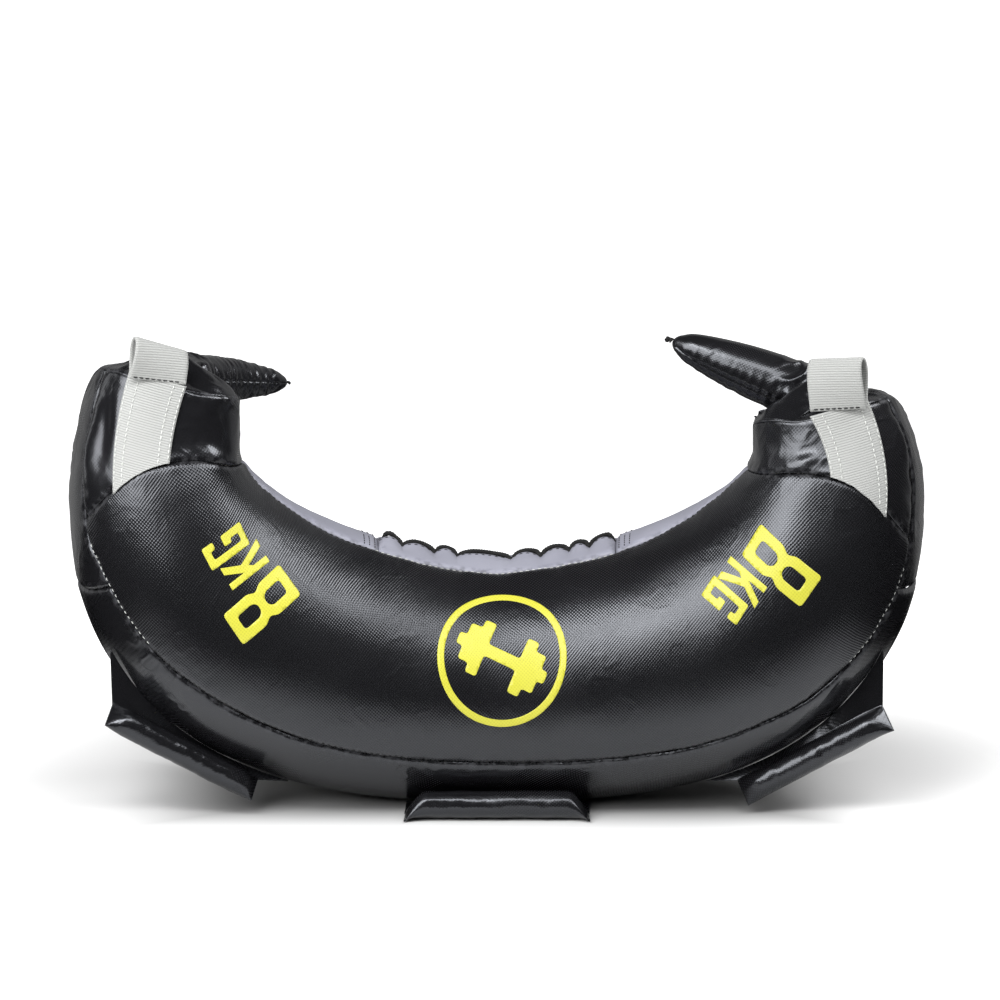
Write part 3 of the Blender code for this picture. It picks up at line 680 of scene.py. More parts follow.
    def line(self, edge: Edge, away: float, part: tuple[float, float] = (0.0, 1.0)) -> tuple[Array, Array]:
        """A line on the cloth beside one of its seams.

        Args:
            edge: The seam.
            away: Distance from it.
            part: Part of the seam's length, as shares.

        Returns:
            Points of the line and the outward direction at each.
        """
        level = edge in (Edge.LOW, Edge.HIGH)
        far = self.distance(edge) if level else self.distance(edge).T
        points = self.points if level else self.points.transpose(1, 0, 2)
        normals = self.normals if level else self.normals.transpose(1, 0, 2)
        first, last = (int(round(share * (len(far) - 1))) for share in part)
        places, ups = [], []
        for i in range(first, last + 1):
            order = np.argsort(far[i])
            places.append([np.interp(away, far[i][order], points[i][order, k]) for k in range(3)])
            ups.append([np.interp(away, far[i][order], normals[i][order, k]) for k in range(3)])
        return np.array(places), unit(np.array(ups))

    def settle(self, floor: float = 0.0) -> None:
        """Moves the points out by their relief, none of them below the floor."""
        self.points = self.points + self.normals * self.relief[..., None]
        self.points[..., 2] = np.maximum(self.points[..., 2], floor)
        self.relief = np.zeros_like(self.relief)
        self.normals, _ = self._normals(self.inside)

    def faces(self) -> list[tuple[int, int, int, int]]:
        """The grid's faces, wound so that their normals point out."""
        columns, rows = self.points.shape[:2]
        count = rows - 1 if self.ring else rows
        quads = []
        for i in range(columns - 1):
            for j in range(rows - 1):
                after = (j + 1) % count
                quad = (i * count + j, (i + 1) * count + j, (i + 1) * count + after, i * count + after)
                quads.append(quad[::-1] if self.flipped else quad)
        return quads

    def mesh(self, name: str) -> bpy.types.Mesh:
        """The cloth as a mesh, with its flat places and seam distances as attributes."""
        keep = slice(0, -1) if self.ring else slice(None)
        points = self.points[:, keep].reshape(-1, 3)
        flat = self.flat[:, keep].reshape(-1, 2)
        seam = self.nearest_seam()[:, keep].reshape(-1)
        mesh = bpy.data.meshes.new(name)
        mesh.from_pydata(points.tolist(), [], self.faces())
        put_flat(mesh, flat)
        distance = mesh.attributes.new(self.SEAM, "FLOAT", "POINT")
        distance.data.foreach_set("value", seam.astype(np.float32))
        return mesh

    def make(self, name: str, thickness: float = 0.0) -> bpy.types.Object:
        """The cloth as an object, thickened inwards."""
        return show(self.mesh(name), thickness)


class Pattern:
    """The flat cut of a panel, with the place of each point once the panel is sewn and filled."""

    def __init__(self, cloth: ClothGrid, lift: float) -> None:
        """Ties the flat cut to the sewn panel.

        Args:
            cloth: The panel.
            lift: Distance off the panel of what is laid on it.
        """
        raised = cloth.points + cloth.normals * lift
        self.flat = [Vector((*place, 0.0)) for place in cloth.flat.reshape(-1, 2)]
        self.placed = [Vector(place) for place in raised.reshape(-1, 3)]
        self.cells = [half for quad in cloth.faces() for half in (quad[:3], (quad[0], *quad[2:]))]
        self.tree = BVHTree.FromPolygons(self.flat, self.cells)

    def place(self, at: Sequence[float]) -> Vector:
        """Where a place of the flat cut ends up."""
        near, _, index, _ = self.tree.find_nearest(Vector((at[0], at[1], 0.0)))
        corners = self.cells[index]
        flat = [self.flat[corner] for corner in corners]
        return barycentric_transform(near, *flat, *[self.placed[corner] for corner in corners])


class Graph:
    """A shader node tree under construction."""

    MIX_A = 6
    MIX_B = 7
    MIX_RESULT = 2

    def __init__(self, tree: bpy.types.NodeTree) -> None:
        """Starts from a tree."""
        self.tree = tree

    def node(self, kind: str, inputs: dict | None = None, **settings: object) -> bpy.types.Node:
        """Adds a node.

        Args:
            kind: The node's type.
            inputs: Values or sockets for its inputs, by name or number.
            settings: Its properties.

        Returns:
            The node.
        """
        node = self.tree.nodes.new(kind)
        for name, value in settings.items():
            setattr(node, name, value)
        self.fill(node, inputs or {})
        return node

    def fill(self, node: bpy.types.Node, inputs: dict) -> None:
        """Feeds a node's inputs, by name or number."""
        for key, value in inputs.items():
            self.feed(node.inputs[key], value)

    def feed(self, socket: bpy.types.NodeSocket, value: object) -> None:
        """Links a socket to an input, or sets its value."""
        if isinstance(value, bpy.types.NodeSocket):
            self.tree.links.new(value, socket)
        elif isinstance(value, tuple) and len(value) == 3 and socket.type == "RGBA":
            socket.default_value = (*value, 1.0)
        else:
            socket.default_value = value

    def math(self, operation: str, *values: object) -> bpy.types.NodeSocket:
        """A Math node's result."""
        node = self.node("ShaderNodeMath", dict(enumerate(values)), operation=operation)
        return node.outputs[0]

    def mix(self, factor: object, low: object, high: object) -> bpy.types.NodeSocket:
        """A colour between two others."""
        inputs = {0: factor, self.MIX_A: low, self.MIX_B: high}
        return self.node("ShaderNodeMix", inputs, data_type="RGBA").outputs[self.MIX_RESULT]

    def spread(self, value: object, low: float, high: float, to: tuple = (0.0, 1.0)) -> object:
        """A value spread from one range to another, smoothly."""
        inputs = {"Value": value, "From Min": low, "From Max": high, "To Min": to[0], "To Max": to[1]}
        node = self.node("ShaderNodeMapRange", inputs, interpolation_type="SMOOTHSTEP")
        return node.outputs["Result"]

    def noise(self, vector: object, scale: object, detail: float = 3.0) -> bpy.types.NodeSocket:
        """Noise from 0 to 1."""
        inputs = {"Vector": vector, "Scale": scale, "Detail": detail}
        return self.node("ShaderNodeTexNoise", inputs).outputs["Fac"]

    def stretch(self, vector: object, scale: tuple) -> bpy.types.NodeSocket:
        """A vector scaled along its axes."""
        inputs = {0: vector, 1: scale}
        return self.node("ShaderNodeVectorMath", inputs, operation="MULTIPLY").outputs[0]

    def bump(self, height: object, distance: float, normal: object = None) -> bpy.types.NodeSocket:
        """A normal bent by a height from 0 to 1, over a distance in metres."""
        inputs = {"Height": height, "Distance": distance, "Strength": 1.0}
        if normal is not None:
            inputs["Normal"] = normal
        return self.node("ShaderNodeBump", inputs).outputs["Normal"]
class Effect(Enum):
    """The shared surface effects."""

    SCRIM = "scrim_weave"
    WEBBING = "webbing_ribs"
    GRAIN = "pebble_grain"
    CREASES = "fine_creases"
    DUST = "seam_dust"
    CLOUDING = "clouding"


class Effects:
    """Builds each shared effect once, as a shader node group."""

    WOBBLE_SCALE = 60.0
    WOBBLE = 0.8
    GAP_RANGE = (0.55, 0.10)
    RIB_POWER = 0.6
    YARN_SHARE = (0.45, 0.55)
    RIB_RANGE = (0.05, 0.75)
    FUZZ_SCALE = 2600.0
    FUZZ_SHARE = 0.25
    CREASE_WIDTH = 0.12
    PATCH_SCALE = 22.0
    PATCH_RANGE = (0.42, 0.66)
    DUST_SCALE = 240.0
    DUST_RANGE = (0.40, 0.70)
    CLOUD_RANGE = (0.30, 0.70)

    def __init__(self) -> None:
        """Builds all the groups."""
        builders = {
            Effect.SCRIM: self._scrim,
            Effect.WEBBING: self._webbing,
            Effect.GRAIN: self._grain,
            Effect.CREASES: self._creases,
            Effect.DUST: self._dust,
            Effect.CLOUDING: self._clouding,
        }
        self.trees = {effect: build(effect.value) for effect, build in builders.items()}

    def put(self, effect: Effect, graph: Graph, place: object, **values: object) -> object:
        """Places an effect in a material.

        Args:
            effect: The effect.
            graph: The material's graph.
            place: The coordinates that it reads.
            values: Its other inputs, with _ for a space.

        Returns:
            Its outputs, by name.
        """
        inputs = {"Vector": place} | {key.replace("_", " "): value for key, value in values.items()}
        return graph.node("ShaderNodeGroup", inputs, node_tree=self.trees[effect]).outputs

    @staticmethod
    def _open(name: str, inputs: dict, outputs: Sequence[str]) -> tuple[Graph, dict, dict]:
        """A new group.

        Args:
            name: The group's name.
            inputs: Default of each input by name, or None for a vector.
            outputs: Names of its outputs, all of them values.

        Returns:
            Its graph, the sockets of its inputs and those of its outputs.
        """
        tree = bpy.data.node_groups.new(name, "ShaderNodeTree")
        for key, value in inputs.items():
            kind = "NodeSocketVector" if value is None else "NodeSocketFloat"
            socket = tree.interface.new_socket(name=key, in_out="INPUT", socket_type=kind)
            if value is not None:
                socket.default_value = value
        for key in outputs:
            tree.interface.new_socket(name=key, in_out="OUTPUT", socket_type="NodeSocketFloat")
        start, finish = tree.nodes.new("NodeGroupInput"), tree.nodes.new("NodeGroupOutput")
        return Graph(tree), start.outputs, finish.inputs

    def _scrim(self, name: str) -> bpy.types.NodeTree:
        """Plain weave under a coating: bumps where the threads cross."""
        graph, given, out = self._open(
            name, {"Vector": None, "Pitch": 0.0017, "Turn": 0.7}, ("Height", "Gaps")
        )
        wobble = graph.noise(given["Vector"], self.WOBBLE_SCALE, 2.0)
        turned = graph.node(
            "ShaderNodeVectorRotate",
            {"Vector": given["Vector"], "Angle": given["Turn"]},
            rotation_type="Z_AXIS",
        ).outputs[0]
        split = graph.node("ShaderNodeSeparateXYZ", {0: turned}).outputs
        waves = []
        for axis in (0, 1):
            place = graph.math("DIVIDE", split[axis], given["Pitch"])
            place = graph.math("MULTIPLY_ADD", wobble, self.WOBBLE, place)
            waves.append(graph.math("COSINE", graph.math("MULTIPLY", place, FULL_TURN)))
        total = graph.math("ADD", waves[0], waves[1])
        height = graph.math("MULTIPLY_ADD", total, 0.25, 0.5)
        graph.feed(out["Height"], height)
        graph.feed(out["Gaps"], graph.spread(height, *self.GAP_RANGE))
        return graph.tree

    def _webbing(self, name: str) -> bpy.types.NodeTree:
        """Webbing: weft ribs across it, with warp yarns that dip between them."""
        graph, given, out = self._open(
            name, {"Vector": None, "Rib Pitch": 0.0016, "Yarn Pitch": 0.0009}, ("Height", "Shade")
        )
        split = graph.node("ShaderNodeSeparateXYZ", {0: given["Vector"]}).outputs
        rib = graph.math("DIVIDE", split[0], given["Rib Pitch"])
        yarn = graph.math("DIVIDE", split[1], given["Yarn Pitch"])
        row = graph.math("FLOOR", rib)
        shifted = graph.math("MULTIPLY_ADD", row, 0.5, yarn)
        rib_wave = graph.math("ABSOLUTE", graph.math("SINE", graph.math("MULTIPLY", rib, math.pi)))
        yarn_wave = graph.math("ABSOLUTE", graph.math("SINE", graph.math("MULTIPLY", shifted, math.pi)))
        rounded = graph.math("POWER", rib_wave, self.RIB_POWER)
        both = graph.math("MULTIPLY", rounded, graph.math("MULTIPLY_ADD", yarn_wave, *self.YARN_SHARE))
        fuzz = graph.noise(given["Vector"], self.FUZZ_SCALE, 2.0)
        ribs = graph.math("MULTIPLY", both, 1.0 - self.FUZZ_SHARE)
        height = graph.math("MULTIPLY_ADD", fuzz, self.FUZZ_SHARE, ribs)
        graph.feed(out["Height"], height)
        # Shade is low in the dips between the ribs, where the webbing paints its shade.
        graph.feed(out["Shade"], graph.spread(both, *self.RIB_RANGE))
        return graph.tree

    def _grain(self, name: str) -> bpy.types.NodeTree:
        """Fine pebbles of a coated surface."""
        graph, given, out = self._open(name, {"Vector": None, "Scale": 900.0}, ("Height",))
        graph.feed(out["Height"], graph.noise(given["Vector"], given["Scale"], 1.0))
        return graph.tree

    def _creases(self, name: str) -> bpy.types.NodeTree:
        """Small creases of coated cloth: soft lines in all directions, here and there."""
        graph, given, out = self._open(name, {"Vector": None, "Scale": 60.0, "Amount": 0.5}, ("Height",))
        lines = graph.noise(given["Vector"], given["Scale"], 1.0)
        folded = graph.math("ABSOLUTE", graph.math("SUBTRACT", lines, 0.5))
        sharp = graph.spread(folded, 0.0, self.CREASE_WIDTH, (1.0, 0.0))
        patches = graph.spread(graph.noise(given["Vector"], self.PATCH_SCALE, 1.0), *self.PATCH_RANGE)
        height = graph.math("MULTIPLY", graph.math("MULTIPLY", sharp, patches), given["Amount"])
        graph.feed(out["Height"], height)
        return graph.tree

    def _dust(self, name: str) -> bpy.types.NodeTree:
        """Dust and rubbed coating close to the seams."""
        graph, given, out = self._open(
            name, {"Vector": None, "Seam Distance": 0.05, "Width": 0.006}, ("Mask",)
        )
        away = graph.math("DIVIDE", given["Seam Distance"], given["Width"])
        near = graph.spread(away, 0.0, 1.0, (1.0, 0.0))
        broken = graph.spread(graph.noise(given["Vector"], self.DUST_SCALE, 4.0), *self.DUST_RANGE)
        graph.feed(out["Mask"], graph.math("MULTIPLY", near, broken))
        return graph.tree

    def _clouding(self, name: str) -> bpy.types.NodeTree:
        """Broad uneven patches, for gloss and colour."""
        graph, given, out = self._open(name, {"Vector": None, "Scale": 14.0}, ("Mask",))
        patches = graph.noise(given["Vector"], given["Scale"], 4.0)
        graph.feed(out["Mask"], graph.spread(patches, *self.CLOUD_RANGE))
        return graph.tree


@dataclass(frozen=True)
class Finish:
    """A finish: its name, the record's material slot, and its base colours; the darker second colour is
    painted shade in the gaps of the coating and the webbing.
    """

    name: str
    slot: str
    colour: Colour
    shade: Colour

    def open(self) -> tuple[bpy.types.Material, Graph, bpy.types.Node, dict]:
        """A new material with its shader and the coordinates that its effects read.

        Returns:
            The material, its graph, its Principled BSDF, and the sockets object, cloth and seam.
        """
        material = bpy.data.materials.new(self.name)
        material.use_nodes = True
        material.diffuse_color = (*self.colour, 1.0)
        graph = Graph(material.node_tree)
        shader = material.node_tree.nodes["Principled BSDF"]
        places = graph.node("ShaderNodeTexCoord").outputs["Object"]
        cloth = graph.node("ShaderNodeAttribute", attribute_name=ClothGrid.CLOTH).outputs["Vector"]
        seam = graph.node("ShaderNodeAttribute", attribute_name=ClothGrid.SEAM).outputs["Fac"]
        return material, graph, shader, {"object": places, "cloth": cloth, "seam": seam}


@dataclass(frozen=True)
class CoatedFabric(Finish):
    """Coated woven fabric: scrim under a glossy skin, with painted shade in the weave's gaps, fine creases
    and dusty seams.
    """

    gloss: tuple[float, float] = (0.30, 0.42)
    weave_pitch: float = 0.0017
    weave_depth: float = 0.00012
    gap_roughness: float = 0.12
    weave_turn: float = 0.7
    crease_depth: float = 0.0002
    crease_scale: float = 60.0
    grain_scale: float = 1500.0
    grain_depth: float = 0.000012
    dust_gain: float = 3.0
    dust_lift: float = 0.012
    dust_roughness: float = 0.25
    specular: float = 0.62
    sheen: tuple[float, float, float] = (0.90, 0.93, 1.0)

    def build(self, effects: Effects) -> bpy.types.Material:
        """The material, from the shared effects."""
        material, graph, shader, given = self.open()
        place = given["object"]
        weave = effects.put(
            Effect.SCRIM, graph, given["cloth"], Pitch=self.weave_pitch, Turn=self.weave_turn
        )
        grain = effects.put(Effect.GRAIN, graph, place, Scale=self.grain_scale)
        creases = effects.put(Effect.CREASES, graph, place, Scale=self.crease_scale)
        dust = effects.put(Effect.DUST, graph, place, Seam_Distance=given["seam"])["Mask"]
        clouds = effects.put(Effect.CLOUDING, graph, place)["Mask"]
        # Painted shade: the darker shade colour is laid in the weave's gaps.
        base = graph.mix(weave["Gaps"], self.colour, self.shade)
        dusty = tuple(min(c * self.dust_gain + self.dust_lift, 1.0) for c in self.colour)
        rough = graph.spread(clouds, 0.0, 1.0, self.gloss)
        worn = graph.math("MULTIPLY_ADD", dust, self.dust_roughness, rough)
        normal = graph.bump(creases["Height"], self.crease_depth)
        normal = graph.bump(weave["Height"], self.weave_depth, normal)
        inputs = {
            "Base Color": graph.mix(dust, base, dusty),
            "Roughness": graph.math("MULTIPLY_ADD", weave["Gaps"], self.gap_roughness, worn),
            "Normal": graph.bump(grain["Height"], self.grain_depth, normal),
            "Specular IOR Level": self.specular,
            "Specular Tint": self.sheen,
        }
        graph.fill(shader, inputs)
        return material


@dataclass(frozen=True)
class SoftVinyl(Finish):
    """The soft grey band: fine grain, slight clouding, a dull sheen."""

    cloud_scale: float = 30.0
    grain_scale: float = 1100.0
    grain_depth: float = 0.00003
    crease_scale: float = 80.0
    crease_depth: float = 0.0002
    dust_share: float = 0.5
    roughness: tuple[float, float] = (0.42, 0.55)
    specular: float = 0.4

    def build(self, effects: Effects) -> bpy.types.Material:
        """The material, from the shared effects."""
        material, graph, shader, given = self.open()
        place = given["object"]
        clouds = effects.put(Effect.CLOUDING, graph, place, Scale=self.cloud_scale)["Mask"]
        grain = effects.put(Effect.GRAIN, graph, place, Scale=self.grain_scale)["Height"]
        creases = effects.put(Effect.CREASES, graph, place, Scale=self.crease_scale)["Height"]
        dust = effects.put(Effect.DUST, graph, place, Seam_Distance=given["seam"])["Mask"]
        base = graph.mix(clouds, self.shade, self.colour)
        dark = tuple(c * self.dust_share for c in self.shade)
        inputs = {
            "Base Color": graph.mix(dust, base, dark),
            "Roughness": graph.spread(clouds, 0.0, 1.0, self.roughness),
            "Normal": graph.bump(grain, self.grain_depth, graph.bump(creases, self.crease_depth)),
            "Specular IOR Level": self.specular,
        }
        graph.fill(shader, inputs)
        return material


@dataclass(frozen=True)
class RibbedWebbing(Finish):
    """Woven webbing: ribs with painted shade in the gaps between them, slightly soiled in patches."""

    rib_pitch: float = 0.0016
    rib_depth: float = 0.00018
    cloud_scale: float = 45.0
    soiled_colour: float = 0.9
    soiled_share: float = 0.35
    roughness: tuple[float, float] = (0.9, 0.72)
    sheen: float = 0.2

    def build(self, effects: Effects) -> bpy.types.Material:
        """The material, from the shared effects."""
        material, graph, shader, given = self.open()
        ribs = effects.put(Effect.WEBBING, graph, given["cloth"], Rib_Pitch=self.rib_pitch)
        clouds = effects.put(Effect.CLOUDING, graph, given["object"], Scale=self.cloud_scale)
        # Painted shade: the darker shade colour fills the dips between the ribs.
        base = graph.mix(ribs["Shade"], self.shade, self.colour)
        soiled = tuple(c * self.soiled_colour for c in self.colour)
        tone = graph.math("MULTIPLY", clouds["Mask"], self.soiled_share)
        inputs = {
            "Base Color": graph.mix(tone, base, soiled),
            "Roughness": graph.spread(ribs["Shade"], 0.0, 1.0, self.roughness),
            "Normal": graph.bump(ribs["Height"], self.rib_depth),
            "Sheen Weight": self.sheen,
        }
        graph.fill(shader, inputs)
        return material


@dataclass(frozen=True)
class Yarn(Finish):
    """Thread, cord, sack cloth and stuffing: twisted fibres."""

    fibre_scale: tuple[float, float, float] = (2500.0, 2500.0, 2500.0)
    depth: float = 0.0001
    cloud_scale: float = 120.0
    fibre_range: tuple[float, float] = (0.3, 0.7)
    roughness: tuple[float, float] = (0.95, 0.7)
    specular: float = 0.3

    def build(self, effects: Effects) -> bpy.types.Material:
        """The material, from the shared effects."""
        material, graph, shader, given = self.open()
        fibres = graph.noise(graph.stretch(given["object"], self.fibre_scale), 1.0)
        clouds = effects.put(Effect.CLOUDING, graph, given["object"], Scale=self.cloud_scale)
        tone = graph.math("MULTIPLY", graph.spread(fibres, *self.fibre_range), clouds["Mask"])
        inputs = {
            "Base Color": graph.mix(tone, self.shade, self.colour),
            "Roughness": graph.spread(fibres, 0.0, 1.0, self.roughness),
            "Normal": graph.bump(fibres, self.depth),
            "Specular IOR Level": self.specular,
        }
        graph.fill(shader, inputs)
        return material


@dataclass(frozen=True)
class PrintInk(Finish):
    """Screen-printed ink: flat colour over the weave, darker in the weave's gaps."""

    weave_pitch: float = 0.0017
    weave_turn: float = 0.7
    weave_depth: float = 0.00004
    cloud_scale: float = 40.0
    gap_darkening: float = 0.5
    roughness: tuple[float, float] = (0.38, 0.5)

    def build(self, effects: Effects) -> bpy.types.Material:
        """The material, from the shared effects."""
        material, graph, shader, given = self.open()
        weave = effects.put(
            Effect.SCRIM, graph, given["cloth"], Pitch=self.weave_pitch, Turn=self.weave_turn
        )
        clouds = effects.put(Effect.CLOUDING, graph, given["object"], Scale=self.cloud_scale)
        # The ink is darker in the weave's gaps, towards its shade colour.
        gap_darkness = graph.math("MULTIPLY", weave["Gaps"], self.gap_darkening)
        inputs = {
            "Base Color": graph.mix(gap_darkness, self.colour, self.shade),
            "Roughness": graph.spread(clouds["Mask"], 0.0, 1.0, self.roughness),
            "Normal": graph.bump(weave["Height"], self.weave_depth),
        }
        graph.fill(shader, inputs)
        return material


@dataclass(frozen=True)
class Dressing:
    """A built material and the record slot it stands for."""

    material: bpy.types.Material
    slot: str


class Wardrobe:
    """All the bag's finishes, built once."""

    COATING = (0.0065, 0.0065, 0.0075)
    # The second colours of the coatings and the webbing are painted shade for the gaps of their weave and
    # ribs.
    FINISHES = {
        "panel": CoatedFabric(
            "coated_panel", "coated_black", COATING, (0.004, 0.004, 0.0045), gloss=(0.19, 0.25)
        ),
        "glossy": CoatedFabric(
            "coated_glossy",
            "coated_black",
            COATING,
            (0.005, 0.005, 0.0055),
            gloss=(0.16, 0.25),
            weave_depth=0.00003,
            gap_roughness=0.06,
            crease_depth=0.0004,
        ),
        "neck": SoftVinyl("neck_vinyl", "neck_grey", (0.255, 0.257, 0.305), (0.225, 0.227, 0.272)),
        "webbing": RibbedWebbing(
            "grey_webbing", "webbing_grey", (0.345, 0.350, 0.340), (0.150, 0.153, 0.147)
        ),
        "lace": Yarn("black_lace", "cord_black", (0.016, 0.016, 0.017), (0.004, 0.004, 0.004)),
        "black_thread": Yarn("black_thread", "cord_black", (0.03, 0.03, 0.032), (0.01, 0.01, 0.01)),
        "white_thread": Yarn("pale_thread", "webbing_grey", (0.62, 0.625, 0.61), (0.45, 0.46, 0.44)),
        "sack": Yarn(
            "sack_cloth", "sack_cloth", (0.40, 0.37, 0.32), (0.22, 0.20, 0.17), (900.0,) * 3, 0.0003
        ),
        "stuffing": Yarn(
            "white_stuffing", "stuffing_white", (0.78, 0.76, 0.72), (0.55, 0.53, 0.50), (300.0,) * 3, 0.001
        ),
        "ink": PrintInk("yellow_ink", "yellow_print", (0.47, 0.455, 0.036), (0.32, 0.30, 0.022)),
    }

    def __init__(self, slots: Sequence[str]) -> None:
        """Builds the materials.

        Args:
            slots: The record's material slots.
        """
        effects = Effects()
        self.items = {}
        for key, finish in self.FINISHES.items():
            slot = finish.slot if finish.slot in slots else ""
            self.items[key] = Dressing(finish.build(effects), slot)

    def dress(self, piece: bpy.types.Object, key: str, body: str, *nodes: str) -> bpy.types.Object:
        """Gives a piece its finish and its place in the frame.

        Args:
            piece: The piece.
            key: The finish.
            body: The body that it rides on.
            nodes: CAD nodes that it stands for.

        Returns:
            The piece.
        """
        dressing = self.items[key]
        piece.data.materials.clear()
        piece.data.materials.append(dressing.material)
        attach(piece, body)
        if nodes:
            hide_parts(*nodes)
        log.info("%s: %s on %s", piece.name, dressing.material.name, body)
        return piece

    def recolour(self, node: str, key: str) -> None:
        """Gives a carried-over CAD node its finish."""
        slots = frame["nodes"][node].data.materials
        slots.clear()
        slots.append(self.items[key].material)


@dataclass(frozen=True)
class Cut:
    """The cut of one sewn panel."""

    node: str
    reaches: tuple[Seam, Seam]
    angles: tuple[Seam, Seam]
    steps: tuple[int, int]
    flat_from: float
    passes: int = 6

    def lay(self, shape: BagShape) -> tuple[ClothGrid, Array]:
        """Lays the panel over the bag.

        Args:
            shape: The bag's outline.

        Returns:
            Its cloth, and the reach of each of its points.
        """
        u, v = grid(self.steps)
        zero = np.zeros_like(u)
        angle = lerp(self.angles[0](zero), self.angles[1](zero), v)
        reach = zero
        for _ in range(self.passes):
            reach = lerp(self.reaches[0](angle), self.reaches[1](angle), u)
            angle = lerp(self.angles[0](reach), self.angles[1](reach), v)
        cloth = ClothGrid(shape.surface(reach, angle), shape.axis_point(reach))
        middle, outward, _ = shape.middle(reach)
        level = np.array([np.interp(self.flat_from, a, d) for a, d in zip(angle, cloth.from_low)])
        cloth.flat = middle + outward * (cloth.from_low - level[:, None])[..., None]
        return cloth, reach


@dataclass
class Shell:
    """The coated panels and the outer gusset."""

    shape: BagShape
    thickness: float = 0.0011
    seam_depth: float = 0.0014
    seam_width: float = 0.0034
    panel_steps: tuple[int, int] = (300, 72)
    gusset_steps: tuple[int, int] = (240, 60)
    end_steps: tuple[int, int] = (70, 70)
    strap_half_width: float = 0.020
    strap_rise_span: float = 0.3
    strap_fade: float = 0.008
    bottom_calm: float = 0.03
    rise_range: tuple = (0.9, 0.35)
    crease_gain: float = 1.4
    top_range: tuple = (0.72, 0.22)
    end_billow: tuple = (0.0014, 0.050)
    end_crease: tuple = (0.0014, (0.030, 0.030, 0.080))
    top_crease: tuple = (0.0016, (0.010, 0.010, 0.016))
    end_pucker: tuple = (0.0006, 0.008, 0.008)
    swells: tuple = ((0.0014, 0.070), (0.0005, 0.026))
    swell_seeds: tuple = (0, 2)
    pucker: tuple = (0.0006, 0.009, 0.009)
    top_seed: int = 5
    cloths: dict = field(default_factory=dict)

    FRONT_FOLDS = (
        Fold((0.150, 0.222), (0.118, 0.202), 0.007, 0.0016),
        Fold((0.170, 0.218), (0.128, 0.214), 0.005, 0.0014),
        Fold((-0.165, 0.226), (-0.140, 0.205), 0.009, -0.0012),
    )
    END_FOLDS = {
        "left": (
            Fold((-0.262, 0.262), (-0.258, 0.205), 0.006, 0.0022),
            Fold((-0.246, 0.282), (-0.250, 0.235), 0.005, -0.0018),
            Fold((-0.195, 0.232), (-0.172, 0.224), 0.005, 0.0016),
            Fold((-0.186, 0.244), (-0.170, 0.232), 0.004, 0.0015),
        ),
        "right": (
            Fold((0.252, 0.262), (0.270, 0.222), 0.006, 0.0018),
            Fold((0.262, 0.240), (0.274, 0.205), 0.005, -0.0016),
            Fold((0.182, 0.232), (0.204, 0.240), 0.004, 0.0016),
            Fold((0.180, 0.222), (0.208, 0.228), 0.004, 0.0014),
        ),
    }

    def cuts(self) -> list[Cut]:
        """The cut of each panel, in sewing order."""
        shape = self.shape
        seams = (partial(shape.end_seam, LEFT), partial(shape.end_seam, RIGHT))
        across = (shape.gusset_angle, shape.back_gusset_angle)
        split = shape.gusset_split_share * shape.arc
        back = (shape.back_gusset_angle, shape.back_neck_angle)
        bottom = (shape.fixed(-split), shape.fixed(split))
        cuts = [
            Cut("front_panel", seams, (shape.neck_angle, shape.gusset_angle), self.panel_steps, 0.0),
            Cut("back_panel", seams, back, self.panel_steps, math.pi),
            Cut("bottom_gusset", bottom, across, self.gusset_steps, QUARTER),
        ]
        for end in ENDS:
            rim = partial(shape.rim_seam, end)
            seam = partial(shape.end_seam, end)
            part = shape.fixed(end.sign * split)
            gusset = (rim, part) if end.sign < 0 else (part, rim)
            ends = (rim, seam) if end.sign < 0 else (seam, rim)
            front = (shape.fixed(-QUARTER), shape.gusset_angle)
            back = (shape.back_gusset_angle, shape.fixed(3 * QUARTER))
            cuts += [
                Cut(end.name + "_gusset", gusset, across, self.end_steps, QUARTER),
                Cut(end.name + "_end_front_panel", ends, front, self.end_steps, 0.0),
                Cut(end.name + "_end_back_panel", ends, back, self.end_steps, math.pi),
            ]
        return cuts

    def strap_mask(self, cloth: ClothGrid, reach: Array) -> Array:
        """0 under a strap, 1 away from it."""
        middle, outward, _ = self.shape.middle(reach)
        offset = np.sum((cloth.points[..., [0, 2]] - middle) * outward, axis=-1)
        share = np.clip((np.abs(reach) / self.shape.arc - 1.0) / self.strap_rise_span, 0.0, 1.0)
        lean = np.zeros_like(reach)
        for end in ENDS:
            mask = (reach < 0) == (end.sign < 0)
            lean[mask] = lerp(end.strap_bottom, end.strap_top, share[mask])
        return smooth((np.abs(offset - lean) - self.strap_half_width) / self.strap_fade)

    def shape_cloth(self, cut: Cut, cloth: ClothGrid, reach: Array) -> None:
        """Gives a panel its swells, puckers and folds.

        Args:
            cut: The panel's cut.
            cloth: Its cloth, which is changed.
            reach: Places of its points along the tube.
        """
        edges = tuple(Edge)
        seed = sum(ord(letter) for letter in cut.node)
        bottom = smooth(cloth.points[..., 2] / self.bottom_calm)
        if "end" in cut.node or cut.node in ("left_gusset", "right_gusset"):
            rise, span = self.rise_range
            share = np.clip((np.abs(reach) / self.shape.arc - rise) / span, 0.0, 1.0)
            calm = self.strap_mask(cloth, reach) if "panel" in cut.node else 1.0
            cloth.billow(*self.end_billow, seed)
            cloth.crease(*self.end_crease, seed + 1, smooth(share * self.crease_gain) * calm)
            top = smooth((share - self.top_range[0]) / self.top_range[1])
            cloth.crease(*self.top_crease, seed + self.top_seed, top * calm)
            cloth.relief *= calm
            cloth.pucker(edges, *self.end_pucker, seed)
            if "front" in cut.node:
                cloth.fold(self.END_FOLDS[cut.node.split("_")[0]])
        else:
            for swell, number in zip(self.swells, self.swell_seeds):
                cloth.billow(*swell, seed + number)
            cloth.pucker(edges, *self.pucker, seed)
            if cut.node == "front_panel":
                cloth.fold(self.FRONT_FOLDS)
        cloth.relief *= bottom
        cloth.sink(edges, self.seam_depth, self.seam_width)
        cloth.settle()

